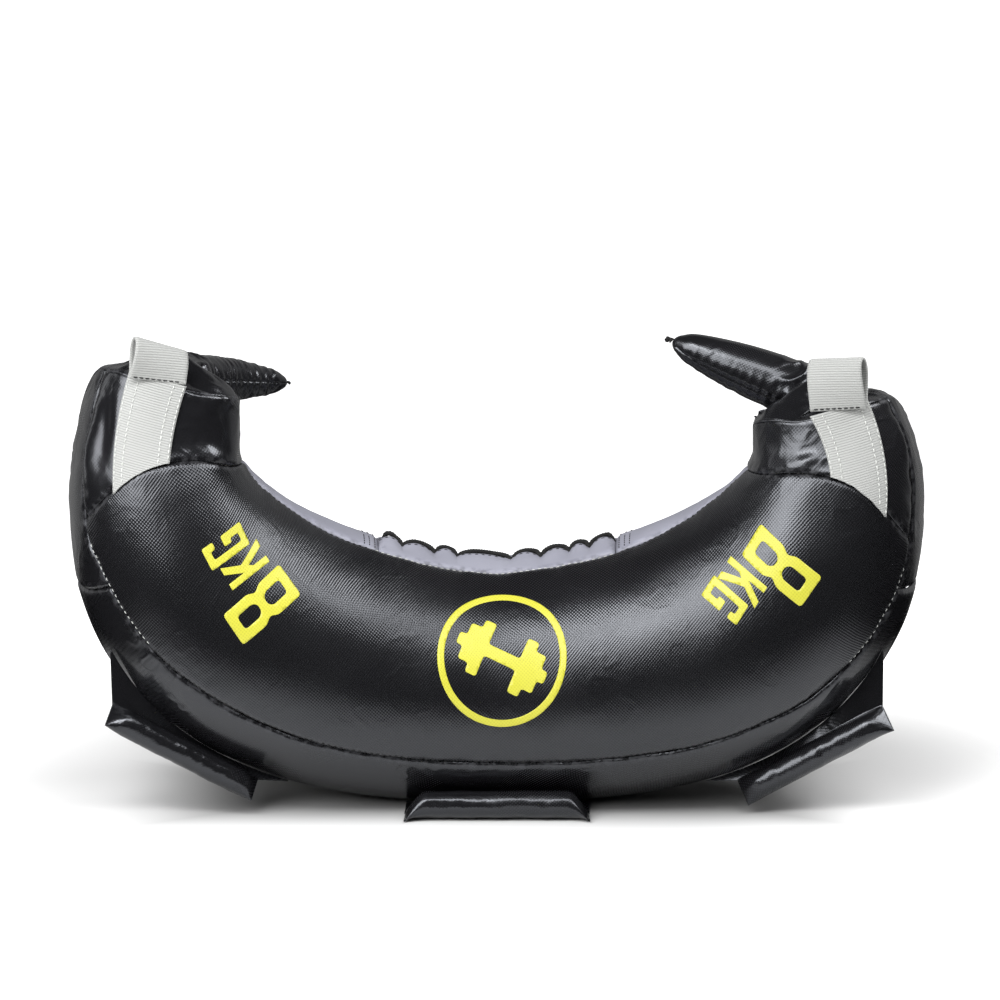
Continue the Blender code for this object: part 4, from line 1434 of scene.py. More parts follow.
    def build(self, wardrobe: Wardrobe) -> None:
        """Builds and dresses the panels."""
        for cut in self.cuts():
            cloth, reach = cut.lay(self.shape)
            self.shape_cloth(cut, cloth, reach)
            piece = cloth.make(cut.node + "_cloth", self.thickness)
            key = "panel" if cut.node in ("front_panel", "back_panel") else "glossy"
            wardrobe.dress(piece, key, "bag", cut.node)
            self.cloths[cut.node] = cloth


@dataclass
class NeckBand:
    """The grey band along the neck: smooth pieces and two laced flaps with wavy hems."""

    shape: BagShape
    thickness: float = 0.0010
    panel_steps: tuple[int, int] = (90, 32)
    flap_steps: tuple[int, int] = (230, 16)
    dip_reaches: tuple = (-0.0686, -0.0403, -0.0231, 0.0066, 0.0257, 0.0482, 0.0660)
    hump: float = 0.0026
    dip: float = 0.0022
    hump_power: float = 0.8
    back_drop: float = 0.0012
    rise_power: float = 2.2
    flap_billow: tuple = (0.0006, 0.012, 21)
    flap_sink: tuple = (0.0018, 0.004)
    billow: tuple = (0.0010, 0.040, 31)
    pucker: tuple = (0.0007, 0.009, 0.010, 33)
    sink: tuple = (0.0020, 0.005)
    hem_stitch_away: float = 0.0022
    hem_stitching: "Stitching" = field(default_factory=lambda: Stitching(0.0026, 0.0018, 0.00030))
    bar_places: tuple = (0.0030, 0.0068, 0.0104)
    bar_stitching: "Stitching" = field(default_factory=lambda: Stitching(0.0024, 0.0010, 0.00030))

    BAR_PARTS = (("back", (0.04, 0.44)), ("front", (0.56, 0.96)))

    def wave(self, reach: Array) -> Array:
        """Height of the hem over its mean line: humps between the lace's dips."""
        half = self.shape.closure_half_length
        stops = np.array([-half, *self.dip_reaches, half])
        index = np.clip(np.searchsorted(stops, reach) - 1, 0, len(stops) - 2)
        share = (reach - stops[index]) / (stops[index + 1] - stops[index])
        arch = np.abs(np.sin(math.pi * np.clip(share, 0.0, 1.0))) ** self.hump_power
        return lerp(-self.dip, self.hump, arch)

    def hem(self, reach: Array, back: bool = False) -> Array:
        """Points of a flap's hem."""
        slit = self.shape.slit_half_width / self.shape.depths[0]
        angle = np.full_like(reach, -slit - QUARTER if back else slit - QUARTER)
        points = self.shape.surface(reach, angle)
        points[..., 2] += self.wave(reach) - (self.back_drop if back else 0.0)
        return points

    def flap(self, back: bool) -> ClothGrid:
        """One flap, from its seam up to its hem."""
        shape = self.shape
        half = shape.closure_half_length
        slit = shape.slit_half_width / shape.depths[0]
        if back:
            angles = (shape.band_back_angle, shape.fixed(-slit - QUARTER))
        else:
            angles = (shape.fixed(slit - QUARTER), shape.neck_angle)
        cut = Cut("flap", (shape.fixed(-half), shape.fixed(half)), angles, self.flap_steps, -QUARTER)
        cloth, reach = cut.lay(shape)
        far = cloth.to_high if back else cloth.from_low
        total = far + (cloth.from_low if back else cloth.to_high)
        rise = (1.0 - far / total) ** self.rise_power
        cloth.relief += rise * (self.wave(reach) - (self.back_drop if back else 0.0))
        cloth.billow(*self.flap_billow)
        cloth.sink((Edge.LOW if back else Edge.HIGH, Edge.START, Edge.FINISH), *self.flap_sink)
        cloth.settle()
        return cloth

    def build_panel(self, end: EndSizes, wardrobe: Wardrobe) -> None:
        """Builds the smooth piece of one side and the bars sewn across its end."""
        shape = self.shape
        near = shape.fixed(end.sign * shape.closure_half_length)
        far = shape.fixed(float(shape.end_seam(end, np.array(-QUARTER))))
        reaches = (far, near) if end.sign < 0 else (near, far)
        cut = Cut("neck", reaches, (shape.band_back_angle, shape.neck_angle), self.panel_steps, -QUARTER)
        cloth, _ = cut.lay(shape)
        cloth.billow(*self.billow)
        cloth.pucker((Edge.LOW, Edge.HIGH), *self.pucker)
        cloth.sink(tuple(Edge), *self.sink)
        cloth.settle()
        node = end.name + "_neck_panel"
        wardrobe.dress(cloth.make(node + "_cloth", self.thickness), "neck", "bag", node)
        edge = Edge.FINISH if end.sign < 0 else Edge.START
        for number, away in enumerate(self.bar_places):
            for half, part in self.BAR_PARTS:
                name = f"{end.name}_neck_{half}_stitches_{number}"
                row = self.bar_stitching.sew(name, *cloth.line(edge, away, part))
                wardrobe.dress(row, "black_thread", "bag")

    def build(self, wardrobe: Wardrobe) -> None:
        """Builds and dresses the band."""
        for end in ENDS:
            self.build_panel(end, wardrobe)
        for back in (False, True):
            node = ("back" if back else "front") + "_closure_flap"
            cloth = self.flap(back)
            wardrobe.dress(cloth.make(node + "_cloth", self.thickness), "neck", "bag", node)
            hem = cloth.line(Edge.HIGH if back else Edge.LOW, self.hem_stitch_away)
            row = self.hem_stitching.sew(node + "_hem_stitches", *hem)
            wardrobe.dress(row, "black_thread", "bag")


class Tube:
    """Round cord built along a line of points."""

    FIRST_SIDE = (0.31, 0.17, 0.93)

    @classmethod
    def ring_frames(cls, points: Array) -> tuple[Array, Array]:
        """Two directions square to the line at each point, without sudden turns.

        Args:
            points: The line.

        Returns:
            The two directions at each point.
        """
        tangents = unit(np.gradient(points, axis=0))
        side = unit(np.cross(tangents[0], np.array(cls.FIRST_SIDE)))
        first = []
        for tangent in tangents:
            side = side - tangent * float(side @ tangent)
            side = side / np.linalg.norm(side)
            first.append(side)
        first = np.array(first)
        return first, np.cross(tangents, first)

    @classmethod
    def along(cls, name: str, points: Array, radii: Array, sides: int = 10) -> bpy.types.Object:
        """A closed tube along a line.

        Args:
            name: The object's name.
            points: The line.
            radii: Its radius at each point.
            sides: Number of its sides.

        Returns:
            The object.
        """
        bm = bmesh.new()
        cls.add(bm, points, radii, sides)
        return show(mesh_of(name, bm))

    @classmethod
    def add(cls, bm: bmesh.types.BMesh, points: Array, radii: Array, sides: int) -> None:
        """Adds a closed tube to a mesh."""
        first, second = cls.ring_frames(points)
        turns = np.linspace(0.0, FULL_TURN, sides, endpoint=False)
        rings = []
        for point, radius, a, b in zip(points, radii, first, second):
            spokes = np.outer(np.cos(turns), a) + np.outer(np.sin(turns), b)
            rings.append([bm.verts.new(point + radius * spoke) for spoke in spokes])
        for ring, after in zip(rings, rings[1:]):
            for k in range(sides):
                turn = (k + 1) % sides
                bm.faces.new((ring[k], ring[turn], after[turn], after[k]))
        bm.faces.new(rings[0][::-1])
        bm.faces.new(rings[-1])

    @staticmethod
    def curve(points: Sequence[Sequence[float]], count: int) -> Array:
        """Evenly spread points of a smooth curve through given ones."""
        points = np.array(points, float)
        lengths = lengths_to(points)
        at = np.linspace(0.0, lengths[-1], count)
        return np.stack([keyed(lengths, points[:, k], at) for k in range(3)], -1)


@dataclass
class Stitching:
    """Rows of thread: short stitches that dip into the cloth at both ends."""

    length: float = 0.0032
    gap: float = 0.0016
    radius: float = 0.00032
    sides: int = 6

    SHARES = (0.0, 0.2, 0.5, 0.8, 1.0)
    LIFTS = (-1.6, 0.2, 0.7, 0.2, -1.6)
    GIRTHS = (0.6, 1.0, 1.0, 1.0, 0.6)

    def sew(self, name: str, line: Array, up: Array) -> bpy.types.Object:
        """A row of stitches.

        Args:
            name: The row's name.
            line: Points of the seam on the cloth.
            up: Outward direction at each point.

        Returns:
            The row as one object.
        """
        lengths = lengths_to(line)
        bm = bmesh.new()
        start = self.gap
        while start + self.length < lengths[-1]:
            at = start + self.length * np.array(self.SHARES)
            spine = np.stack([np.interp(at, lengths, line[:, k]) for k in range(3)], -1)
            out = unit(np.stack([np.interp(at, lengths, up[:, k]) for k in range(3)], -1))
            lift = self.radius * np.array(self.LIFTS)
            Tube.add(bm, spine + out * lift[:, None], self.radius * np.array(self.GIRTHS), self.sides)
            start += self.length + self.gap
        return show(mesh_of(name, bm))


@dataclass
class Lace:
    """The black lace of the closure."""

    shape: BagShape
    band: NeckBand
    radius: float = 0.00165
    count: int = 420
    twist_height: float = 0.10
    twist_step: float = 1.9

    # Places along the slit (or shares of the way between two dips), back from the hem and above it.
    ENTRY = (
        (0.004, 0.004, -0.006), (0.007, 0.003, 0.001), (0.012, 0.002, 0.0018), (0.017, 0.002, 0.0010),
    )
    TURN = (
        (-0.0022, 0.0012, 0.0012), (0.0, -0.0008, 0.0002),
        (0.0012, 0.0014, -0.0006), (0.0030, 0.0030, 0.0004),
    )
    HUMP = ((0.30, 0.0044, 0.0002), (0.50, 0.0054, -0.0002), (0.72, 0.0044, 0.0002))
    EXIT = ((-0.006, 0.0030, 0.0010), (-0.002, 0.0030, -0.0020), (-0.001, 0.0034, -0.0070))

    def route(self) -> Array:
        """The lace's middle line: from dip to dip over the humps, held in each dip."""
        half = self.shape.closure_half_length
        stops = [*self.band.dip_reaches, half + self.EXIT[0][0]]
        places = [(-half + along, back, up) for along, back, up in self.ENTRY]
        for start, stop in zip(stops, stops[1:]):
            places += [(start + along, back, up) for along, back, up in self.TURN]
            places += [(lerp(start, stop, share), back, up) for share, back, up in self.HUMP]
        places += [(half + along, back, up) for along, back, up in self.EXIT]
        reach, back, up = np.array(places).T
        points = self.band.hem(reach) + np.stack([np.zeros_like(back), back, up], -1)
        return Tube.curve(points, self.count)

    def build(self, wardrobe: Wardrobe) -> None:
        """Builds the lace as a twisted cord."""
        twist = np.sin(np.arange(self.count) * self.twist_step)
        radii = self.radius * (1.0 + self.twist_height * twist)
        piece = Tube.along("closure_lace_cord", self.route(), radii)
        wardrobe.dress(piece, "lace", "bag", "closure_lace")


@dataclass
class Webbing:
    """A strap of woven webbing with ribs, soft edges and rows of stitching."""

    width: float = 0.0385
    thickness: float = 0.0016
    rib_pitch: float = 0.0016
    rib_height: float = 0.00016
    steps_a_rib: int = 4
    rows: int = 24
    edge_thinning: float = 0.00045
    edge_width: float = 0.0014
    unevenness: float = 0.00008
    uneven_size: float = 0.004
    uneven_seed: int = 5

    def ribbed(self, cloth: ClothGrid) -> None:
        """Raises the ribs and thins the edges of a strap whose length runs along its columns."""
        rib = np.abs(np.sin(math.pi * cloth.from_start / self.rib_pitch))
        edge = np.minimum(cloth.from_low, cloth.to_high)
        cloth.relief += self.rib_height * rib
        cloth.relief -= self.edge_thinning * np.clip(1.0 - edge / self.edge_width, 0.0, 1.0) ** 2
        cloth.relief += self.unevenness * Noise.lumps(cloth.points / self.uneven_size, self.uneven_seed)

    def columns(self, length: float) -> int:
        """Number of columns for a length."""
        return int(round(length / self.rib_pitch * self.steps_a_rib))


@dataclass
class EndDress:
    """What is sewn to one end of the bag: two straps and a hand loop."""

    shape: BagShape
    end: EndSizes
    webbing: Webbing = field(default_factory=Webbing)
    stitching: Stitching = field(default_factory=lambda: Stitching(0.0028, 0.0009, 0.00042))
    loop_stitching: Stitching = field(default_factory=lambda: Stitching(0.0030, 0.0008, 0.00042))
    proud: float = 0.0008
    strap_length: float = 0.066
    strap_overrun: float = 0.05
    loop_length: float = 0.082
    loop_front_angle: float = 112.0
    loop_back_angle: float = 58.0
    loop_open_share: float = 0.001
    loop_fullness: float = 0.65
    loop_seat_gap: float = 0.0005
    loop_front_gap: float = 0.0004
    loop_stitch_away: float = 0.0014
    loop_stitch_part: tuple = (0.04, 0.96)
    strap_seam_gap: float = 0.0004
    stitch_places: tuple = (0.0014, 0.0078)
    stitch_part: tuple = (0.01, 0.99)

    def strap_points(self, u: Array, across: Array, back: bool, proud: float) -> Array:
        """Points of a strap's underside.

        Args:
            u: Shares down the strap.
            across: Distances from its middle.
            back: True for the strap on the back.
            proud: Distance off the panel.

        Returns:
            One point for each share and distance.
        """
        shape, end = self.shape, self.end
        offset = lerp(end.strap_top, end.strap_bottom, u) + across
        width = float(shape.middle(np.array(end.sign * shape.arc))[2])
        angle = np.arcsin(np.clip(offset / width, -1.0, 1.0))
        if back:
            angle = math.pi - angle
        low = shape.end_seam(end, angle) + end.sign * self.strap_seam_gap
        high = shape.rim_seam(end, angle)
        return shape.face(lerp(high, low, u), offset, proud, back)

    def strap(self, back: bool) -> ClothGrid:
        """One strap as cloth."""
        web = self.webbing
        steps = (web.columns(self.strap_length), web.rows)
        u, v = grid(steps, (-self.strap_overrun, 1.0), (-web.width / 2, web.width / 2))
        points = self.strap_points(u, v, back, self.proud + web.thickness)
        inside = self.shape.axis_point(np.full_like(u, self.end.sign * self.shape.arc))
        cloth = ClothGrid(points, inside)
        web.ribbed(cloth)
        cloth.settle()
        return cloth

    def build_straps(self, wardrobe: Wardrobe) -> None:
        """Builds both straps with their stitching."""
        web = self.webbing
        for back in (False, True):
            node = self.end.name + ("_back_strap" if back else "_front_strap")
            cloth = self.strap(back)
            wardrobe.dress(cloth.make(node + "_webbing", web.thickness), "webbing", "bag", node)
            for edge in (Edge.LOW, Edge.HIGH):
                for number, away in enumerate(self.stitch_places):
                    name = f"{node}_{edge.value}_stitches_{number}"
                    row = self.stitching.sew(name, *cloth.line(edge, away, self.stitch_part))
                    wardrobe.dress(row, "white_thread", "bag")

    def loop_seat(self) -> Array:
        """Flat place of the line where the hand loop is sewn on."""
        shape, end = self.shape, self.end
        reach = shape.rim_seam(end, np.array([0.0]))
        middle, outward, _ = shape.middle(reach)
        depth = shape.depth(reach)[0]
        flat = middle[0] + outward[0] * end.strap_top
        gap = self.loop_front_gap + self.webbing.thickness
        return np.array([flat[0], -float(depth[0]) - gap, flat[1] + self.loop_seat_gap])

    def build_loop(self, wardrobe: Wardrobe) -> None:
        """Builds the hand loop."""
        end, web = self.end, self.webbing
        seat = self.loop_seat()
        v, u = grid((web.columns(self.loop_length), web.rows))
        share = lerp(self.loop_open_share, 1 - self.loop_open_share, v)
        angle = np.radians(lerp(self.loop_front_angle, self.loop_back_angle, share))
        bulge = np.sin(math.pi * share) ** self.loop_fullness
        inner = u if end.sign < 0 else 1 - u
        reach = (end.loop_height + web.thickness) * bulge * (1 - end.loop_taper * inner)
        side, ahead = lerp(-web.width / 2, web.width / 2, u), reach * np.cos(angle)
        twist = math.radians(end.loop_yaw) * -end.sign * bulge
        offset = np.stack(
            [
                side * np.cos(twist) - ahead * np.sin(twist),
                side * np.sin(twist) + ahead * np.cos(twist),
                reach * np.sin(angle),
            ],
            -1,
        )
        tilt = np.array(Matrix.Rotation(math.radians(end.loop_tilt) * -end.sign, 3, "Y"))
        points = self.shape.wrapped(seat + offset @ tilt.T)
        inside = self.shape.wrapped(seat + np.array([0.0, -0.002, end.loop_height / 2]))
        cloth = ClothGrid(points, inside)
        web.ribbed(cloth)
        cloth.settle()
        node = end.name + "_hand_loop"
        piece = cloth.make(node + "_webbing", web.thickness)
        wardrobe.dress(piece, "webbing", end.name + "_loop", node)
        line = cloth.line(Edge.START, self.loop_stitch_away, self.loop_stitch_part)
        row = self.loop_stitching.sew(node + "_stitches", *line)
        wardrobe.dress(row, "black_thread", end.name + "_loop")

    def build(self, wardrobe: Wardrobe) -> None:
        """Builds the straps and the loop."""
        self.build_straps(wardrobe)
        self.build_loop(wardrobe)


@dataclass
class ShoulderFlap:
    """The folded corner of fabric between a hand loop and its horn."""

    shape: BagShape
    end: EndSizes
    angles: tuple[float, float] = (-10.0, -83.0)
    steps: tuple[int, int] = (70, 26)
    lift: float = 0.0006
    swell: float = 0.0022
    overlap: float = 0.001
    thickness: float = 0.0010
    inner_place: tuple = (0.05, 0.26)
    calm_end: float = 0.97
    creases: tuple = (0.0012, (0.012, 0.012, 0.007), 47)

    def build(self, wardrobe: Wardrobe) -> None:
        """Builds the flap from the end's top edge up to its ridge."""
        shape, end = self.shape, self.end
        u, v = grid(self.steps)
        angle = np.radians(lerp(*self.angles, u))
        reach = shape.rim_seam(end, angle) - end.sign * self.overlap
        low = shape.surface(reach, angle, -self.lift)
        ridge = Tube.curve(end.flap_ridge, self.steps[0] + 1)
        points = lerp(low, ridge[:, None, :], v[..., None])
        inside = np.array([end.flap_ridge[2][0], *self.inner_place])
        cloth = ClothGrid(points, inside)
        arch, along = np.sin(math.pi * v), np.sin(math.pi * np.clip(u, 0.0, self.calm_end))
        cloth.relief += self.swell * arch * along
        cloth.crease(*self.creases, arch)
        cloth.settle()
        name = end.name + "_shoulder_flap_cloth"
        wardrobe.dress(cloth.make(name, self.thickness), "glossy", "bag")


@dataclass(frozen=True)
class Wrinkles:
    """Crosswise wrinkles of a horn's sleeve, above and below, and the height of its side seam."""

    pitch: float
    above: float
    below: float
    seam_height: float


@dataclass
class Horn:
    """A stuffed horn grip and the cap that holds its root."""

    shape: BagShape
    end: EndSizes
    length: float = 0.100
    root_radius: float = 0.0175
    radius_shares: tuple = (0.0, 0.22, 0.40, 0.53, 0.67, 0.80, 0.90, 0.97)
    radii: tuple = (0.0175, 0.0168, 0.0158, 0.0146, 0.0128, 0.0106, 0.0082, 0.0046)
    mouth_angle: float = 14.0
    root_rows_share: float = 0.3
    steps: tuple[int, int] = (260, 96)
    socket_half_angle: float = 50.0
    socket_gap: float = 0.0007
    cap_rise: float = 0.010
    cap_least_rise: float = 0.0010
    mean_lift: float = 32.0
    cap_steps: tuple[int, int] = (40, 220)
    tie_radius: float = 0.0020
    tie_length: float = 0.0052
    clearance: float = 0.0004
    filling_gap: float = 0.0034
    filling_end: float = 0.93
    filling_least: float = 0.0005
    sleeve_thickness: float = 0.0009
    cap_thickness: float = 0.0010
    wrinkle_height: float = 0.00062
    wrinkle_turn: float = 0.8
    fine_share: float = 0.5
    fine_scale: tuple = (1.7, 1.3, 1.3)
    wrinkle_ends: tuple = (0.12, 0.20)
    slack_range: tuple = (0.35, 0.3)
    slack: tuple = (0.0022, (0.012, 0.012, 0.009), 71)
    seam_depth: float = 0.0011
    seam_width: float = 0.045
    seam_start: float = 0.10
    gather_width: float = 0.30
    gather_height: float = 0.00030
    gather_pitch: float = 0.0034
    cap_crumple: float = 0.0022
    cap_lumps: float = 5.0
    cap_creases: tuple = (0.0016, (0.010, 0.010, 0.010), 83)
    cap_least: float = -0.0003
    cap_sink: tuple = (0.0008, 0.003)
    tie_bend: float = 0.0006
    tie_turns: float = 5.0
    tie_end: float = 0.15
    tie_neck: tuple = (0.62, 0.38)

    WRINKLES = {-1: Wrinkles(0.0030, 0.75, 0.75, 0.02), 1: Wrinkles(0.0046, 0.08, 0.40, -0.42)}
    TIE_SIZES = {-1: 0.5, 1: 1.0}

    def __post_init__(self) -> None:
        """Works out the root's place and the horn's directions."""
        side = self.shape.outer_half_span - self.end.horn_inset
        flat = np.array([self.end.sign * side, self.end.horn_depth, self.end.horn_height])
        self.pivot = self.shape.wrapped(flat)
        self.start = unit(np.array(self.end.horn_start))
        self.finish = unit(np.array(self.end.horn_finish))
        self.axis = unit(np.array([self.start[1], -self.start[0], 0.0]))

    def spine(self, share: Array) -> tuple[Array, Array]:
        """Points and directions of the horn's middle line."""
        share = np.asarray(share, float)[..., None]
        point = self.pivot + self.length * (self.start * share + (self.finish - self.start) * share**2 / 2)
        return point, unit(lerp(self.start, self.finish, share))

    def radius(self, share: Array) -> Array:
        """Outer radius of the horn, down to nothing at its tip."""
        return self.base_radius(share) * lerp(*self.end.horn_girth, share)

    def base_radius(self, share: Array) -> Array:
        """Outer radius before the end's own girth."""
        last = self.radius_shares[-1]
        taper = self.radii[-1] * np.sqrt(np.clip((1.0 - share) / (1.0 - last), 0.0, 1.0))
        return np.where(share >= last, taper, keyed(self.radius_shares, self.radii, share))

    def sleeve(self) -> ClothGrid:
        """The sleeve as cloth: a ball round the root, then the taper."""
        u, v = grid(self.steps)
        turn = FULL_TURN * v
        root = self.root_rows_share
        polar = lerp(math.radians(self.mouth_angle), QUARTER, np.clip(u / root, 0.0, 1.0))
        up = np.cross(self.axis, self.start)
        spoke = self.axis * np.cos(turn)[..., None] + up * np.sin(turn)[..., None]
        round_root = spoke * np.sin(polar)[..., None] - self.start * np.cos(polar)[..., None]
        ball = self.pivot + self.root_radius * self.end.horn_girth[0] * round_root
        share = np.sin(np.clip((u - root) / (1 - root), 0.0, 1.0) * QUARTER)
        point, along = self.spine(share)
        lifted = unit(np.cross(self.axis, along))
        across = np.cross(along, lifted)
        spoke = across * np.cos(turn)[..., None] + lifted * np.sin(turn)[..., None]
        taper = point + spoke * self.radius(share)[..., None]
        points = np.where((u < root)[..., None], ball, taper)
        inside = np.where((u < root)[..., None], self.pivot, point)
        cloth = ClothGrid(points, inside, ring=True)
        cloth.flat = np.stack([share * self.length, v * FULL_TURN * self.root_radius], -1)
        self._wrinkle(cloth, share, spoke)
        return cloth

    def _wrinkle(self, cloth: ClothGrid, share: Array, spoke: Array) -> None:
        """Crosswise wrinkles, a seam along the side and slack near the root.

        Args:
            cloth: The sleeve, which is changed.
            share: Shares of the horn's length of its points.
            spoke: Directions of its points from the middle line.
        """
        sizes = self.WRINKLES[self.end.sign]
        facing, height = -spoke[..., 1], spoke[..., 2]
        under = smooth(0.5 - height * 1.5)
        turns = [facing * self.wrinkle_turn, height * self.wrinkle_turn]
        across = np.stack([share * self.length / sizes.pitch, *turns], -1)
        fine = Noise.lumps(across * np.array(self.fine_scale), 62)
        wrinkles = Noise.lumps(across, 61) + self.fine_share * fine
        body = smooth(share / self.wrinkle_ends[0]) * smooth((1.0 - share) / self.wrinkle_ends[1])
        amount = lerp(sizes.above, sizes.below, under) * body
        cloth.relief += self.wrinkle_height * wrinkles * amount
        cloth.crease(*self.slack, smooth((self.slack_range[0] - share) / self.slack_range[1]))
        beside = height - sizes.seam_height
        seam = np.exp(-((beside / self.seam_width) ** 2)) * (facing > 0)
        cloth.relief -= self.seam_depth * seam * smooth(share / self.seam_start)
        gather = np.exp(-((beside / self.gather_width) ** 2)) * (facing > 0)
        ripples = np.sin(share * self.length / self.gather_pitch * math.pi)
        cloth.relief += self.gather_height * ripples * gather * body
        cloth.settle()

    def build(self, wardrobe: Wardrobe) -> None:
        """Builds the sleeve with its filling, the tied tip and the cap."""
        body = self.end.name + "_horn"
        sleeve = self.sleeve().make(self.end.name + "_horn_sleeve_cloth", self.sleeve_thickness)
        wardrobe.dress(sleeve, "glossy", body, self.end.name + "_horn_sleeve")
        node = body + "_stuffing"
        wardrobe.dress(self.stuffing(node + "_fibre"), "stuffing", body, node)
        self.build_tie(wardrobe, body)
        self.build_cap(wardrobe)

    def stuffing(self, name: str) -> bpy.types.Object:
        """The horn's filling, clear of the sleeve all the way."""
        share = np.linspace(0.0, self.filling_end, 60)
        line, _ = self.spine(share)
        radii = np.maximum(self.radius(share) - self.filling_gap, self.filling_least)
        return Tube.along(name, line, radii, 20)

    def build_tie(self, wardrobe: Wardrobe, body: str) -> None:
        """Builds the knot at the horn's tip."""
        tip, along = self.spine(np.array([1.0]))
        share = np.linspace(0.0, 1.0, 24)
        size = self.TIE_SIZES[self.end.sign]
        line = tip + along * (self.clearance + size * self.tie_length * share)[:, None]
        line[:, 2] += self.tie_bend * np.sin(share * self.tie_turns)
        radii = size * self.tie_radius * np.clip((1.0 - share) / self.tie_end, 0.05, 1.0) ** 0.5
        radii *= self.tie_neck[0] + self.tie_neck[1] * np.abs(np.cos(share * self.tie_turns))
        piece = Tube.along(self.end.name + "_horn_tie_knot", line, radii, 14)
        wardrobe.dress(piece, "lace", body, self.end.name + "_horn_tie")

    def build_cap(self, wardrobe: Wardrobe) -> None:
        """Builds the fabric that closes the end round the horn's root."""
        shape, end = self.shape, self.end
        lift = Matrix.Rotation(math.radians(self.mean_lift), 3, Vector(self.axis))
        axis = -np.array(lift @ Vector(self.start))
        half = math.radians(self.socket_half_angle)
        radius = self.root_radius + self.socket_gap
        ring_centre = self.pivot + axis * radius * math.cos(half)
        away = -unit(np.array([end.horn_start[0], end.horn_start[1], 0.0]))
        u, v = grid(self.cap_steps, across=(-math.pi, math.pi))
        rim = shape.surface(shape.rim_seam(end, v), v)
        toward = rim - ring_centre
        spoke = unit(toward - axis * (toward @ axis)[..., None])
        ring = ring_centre + spoke * radius * math.sin(half)
        level = unit(toward * np.array([1.0, 1.0, 0.0]))
        rise = lerp(self.cap_least_rise, self.cap_rise, (1 + level @ away) / 2)
        middle = (rim + ring) / 2
        middle[..., 2] += rise
        u3 = u[..., None]
        points = rim * (1 - u3) ** 2 + middle * 2 * u3 * (1 - u3) + ring * u3**2
        inside = self.pivot - np.array([0.0, 0.0, 0.05])
        cloth = ClothGrid(points, inside, ring=True)
        lumps, arch = self.cap_lumps, np.sin(math.pi * u)
        waves = np.stack([np.sin(v) * lumps, u * 2.0, np.cos(v) * lumps], -1)
        cloth.relief += self.cap_crumple * Noise.rough(waves, 81 + end.sign) * arch**0.7
        cloth.crease(*self.cap_creases, arch)
        np.maximum(cloth.relief, self.cap_least, out=cloth.relief)
        cloth.sink((Edge.START,), *self.cap_sink)
        cloth.settle()
        node = end.name + "_shoulder_cap"
        wardrobe.dress(cloth.make(node + "_cloth", self.cap_thickness), "glossy", "bag", node)


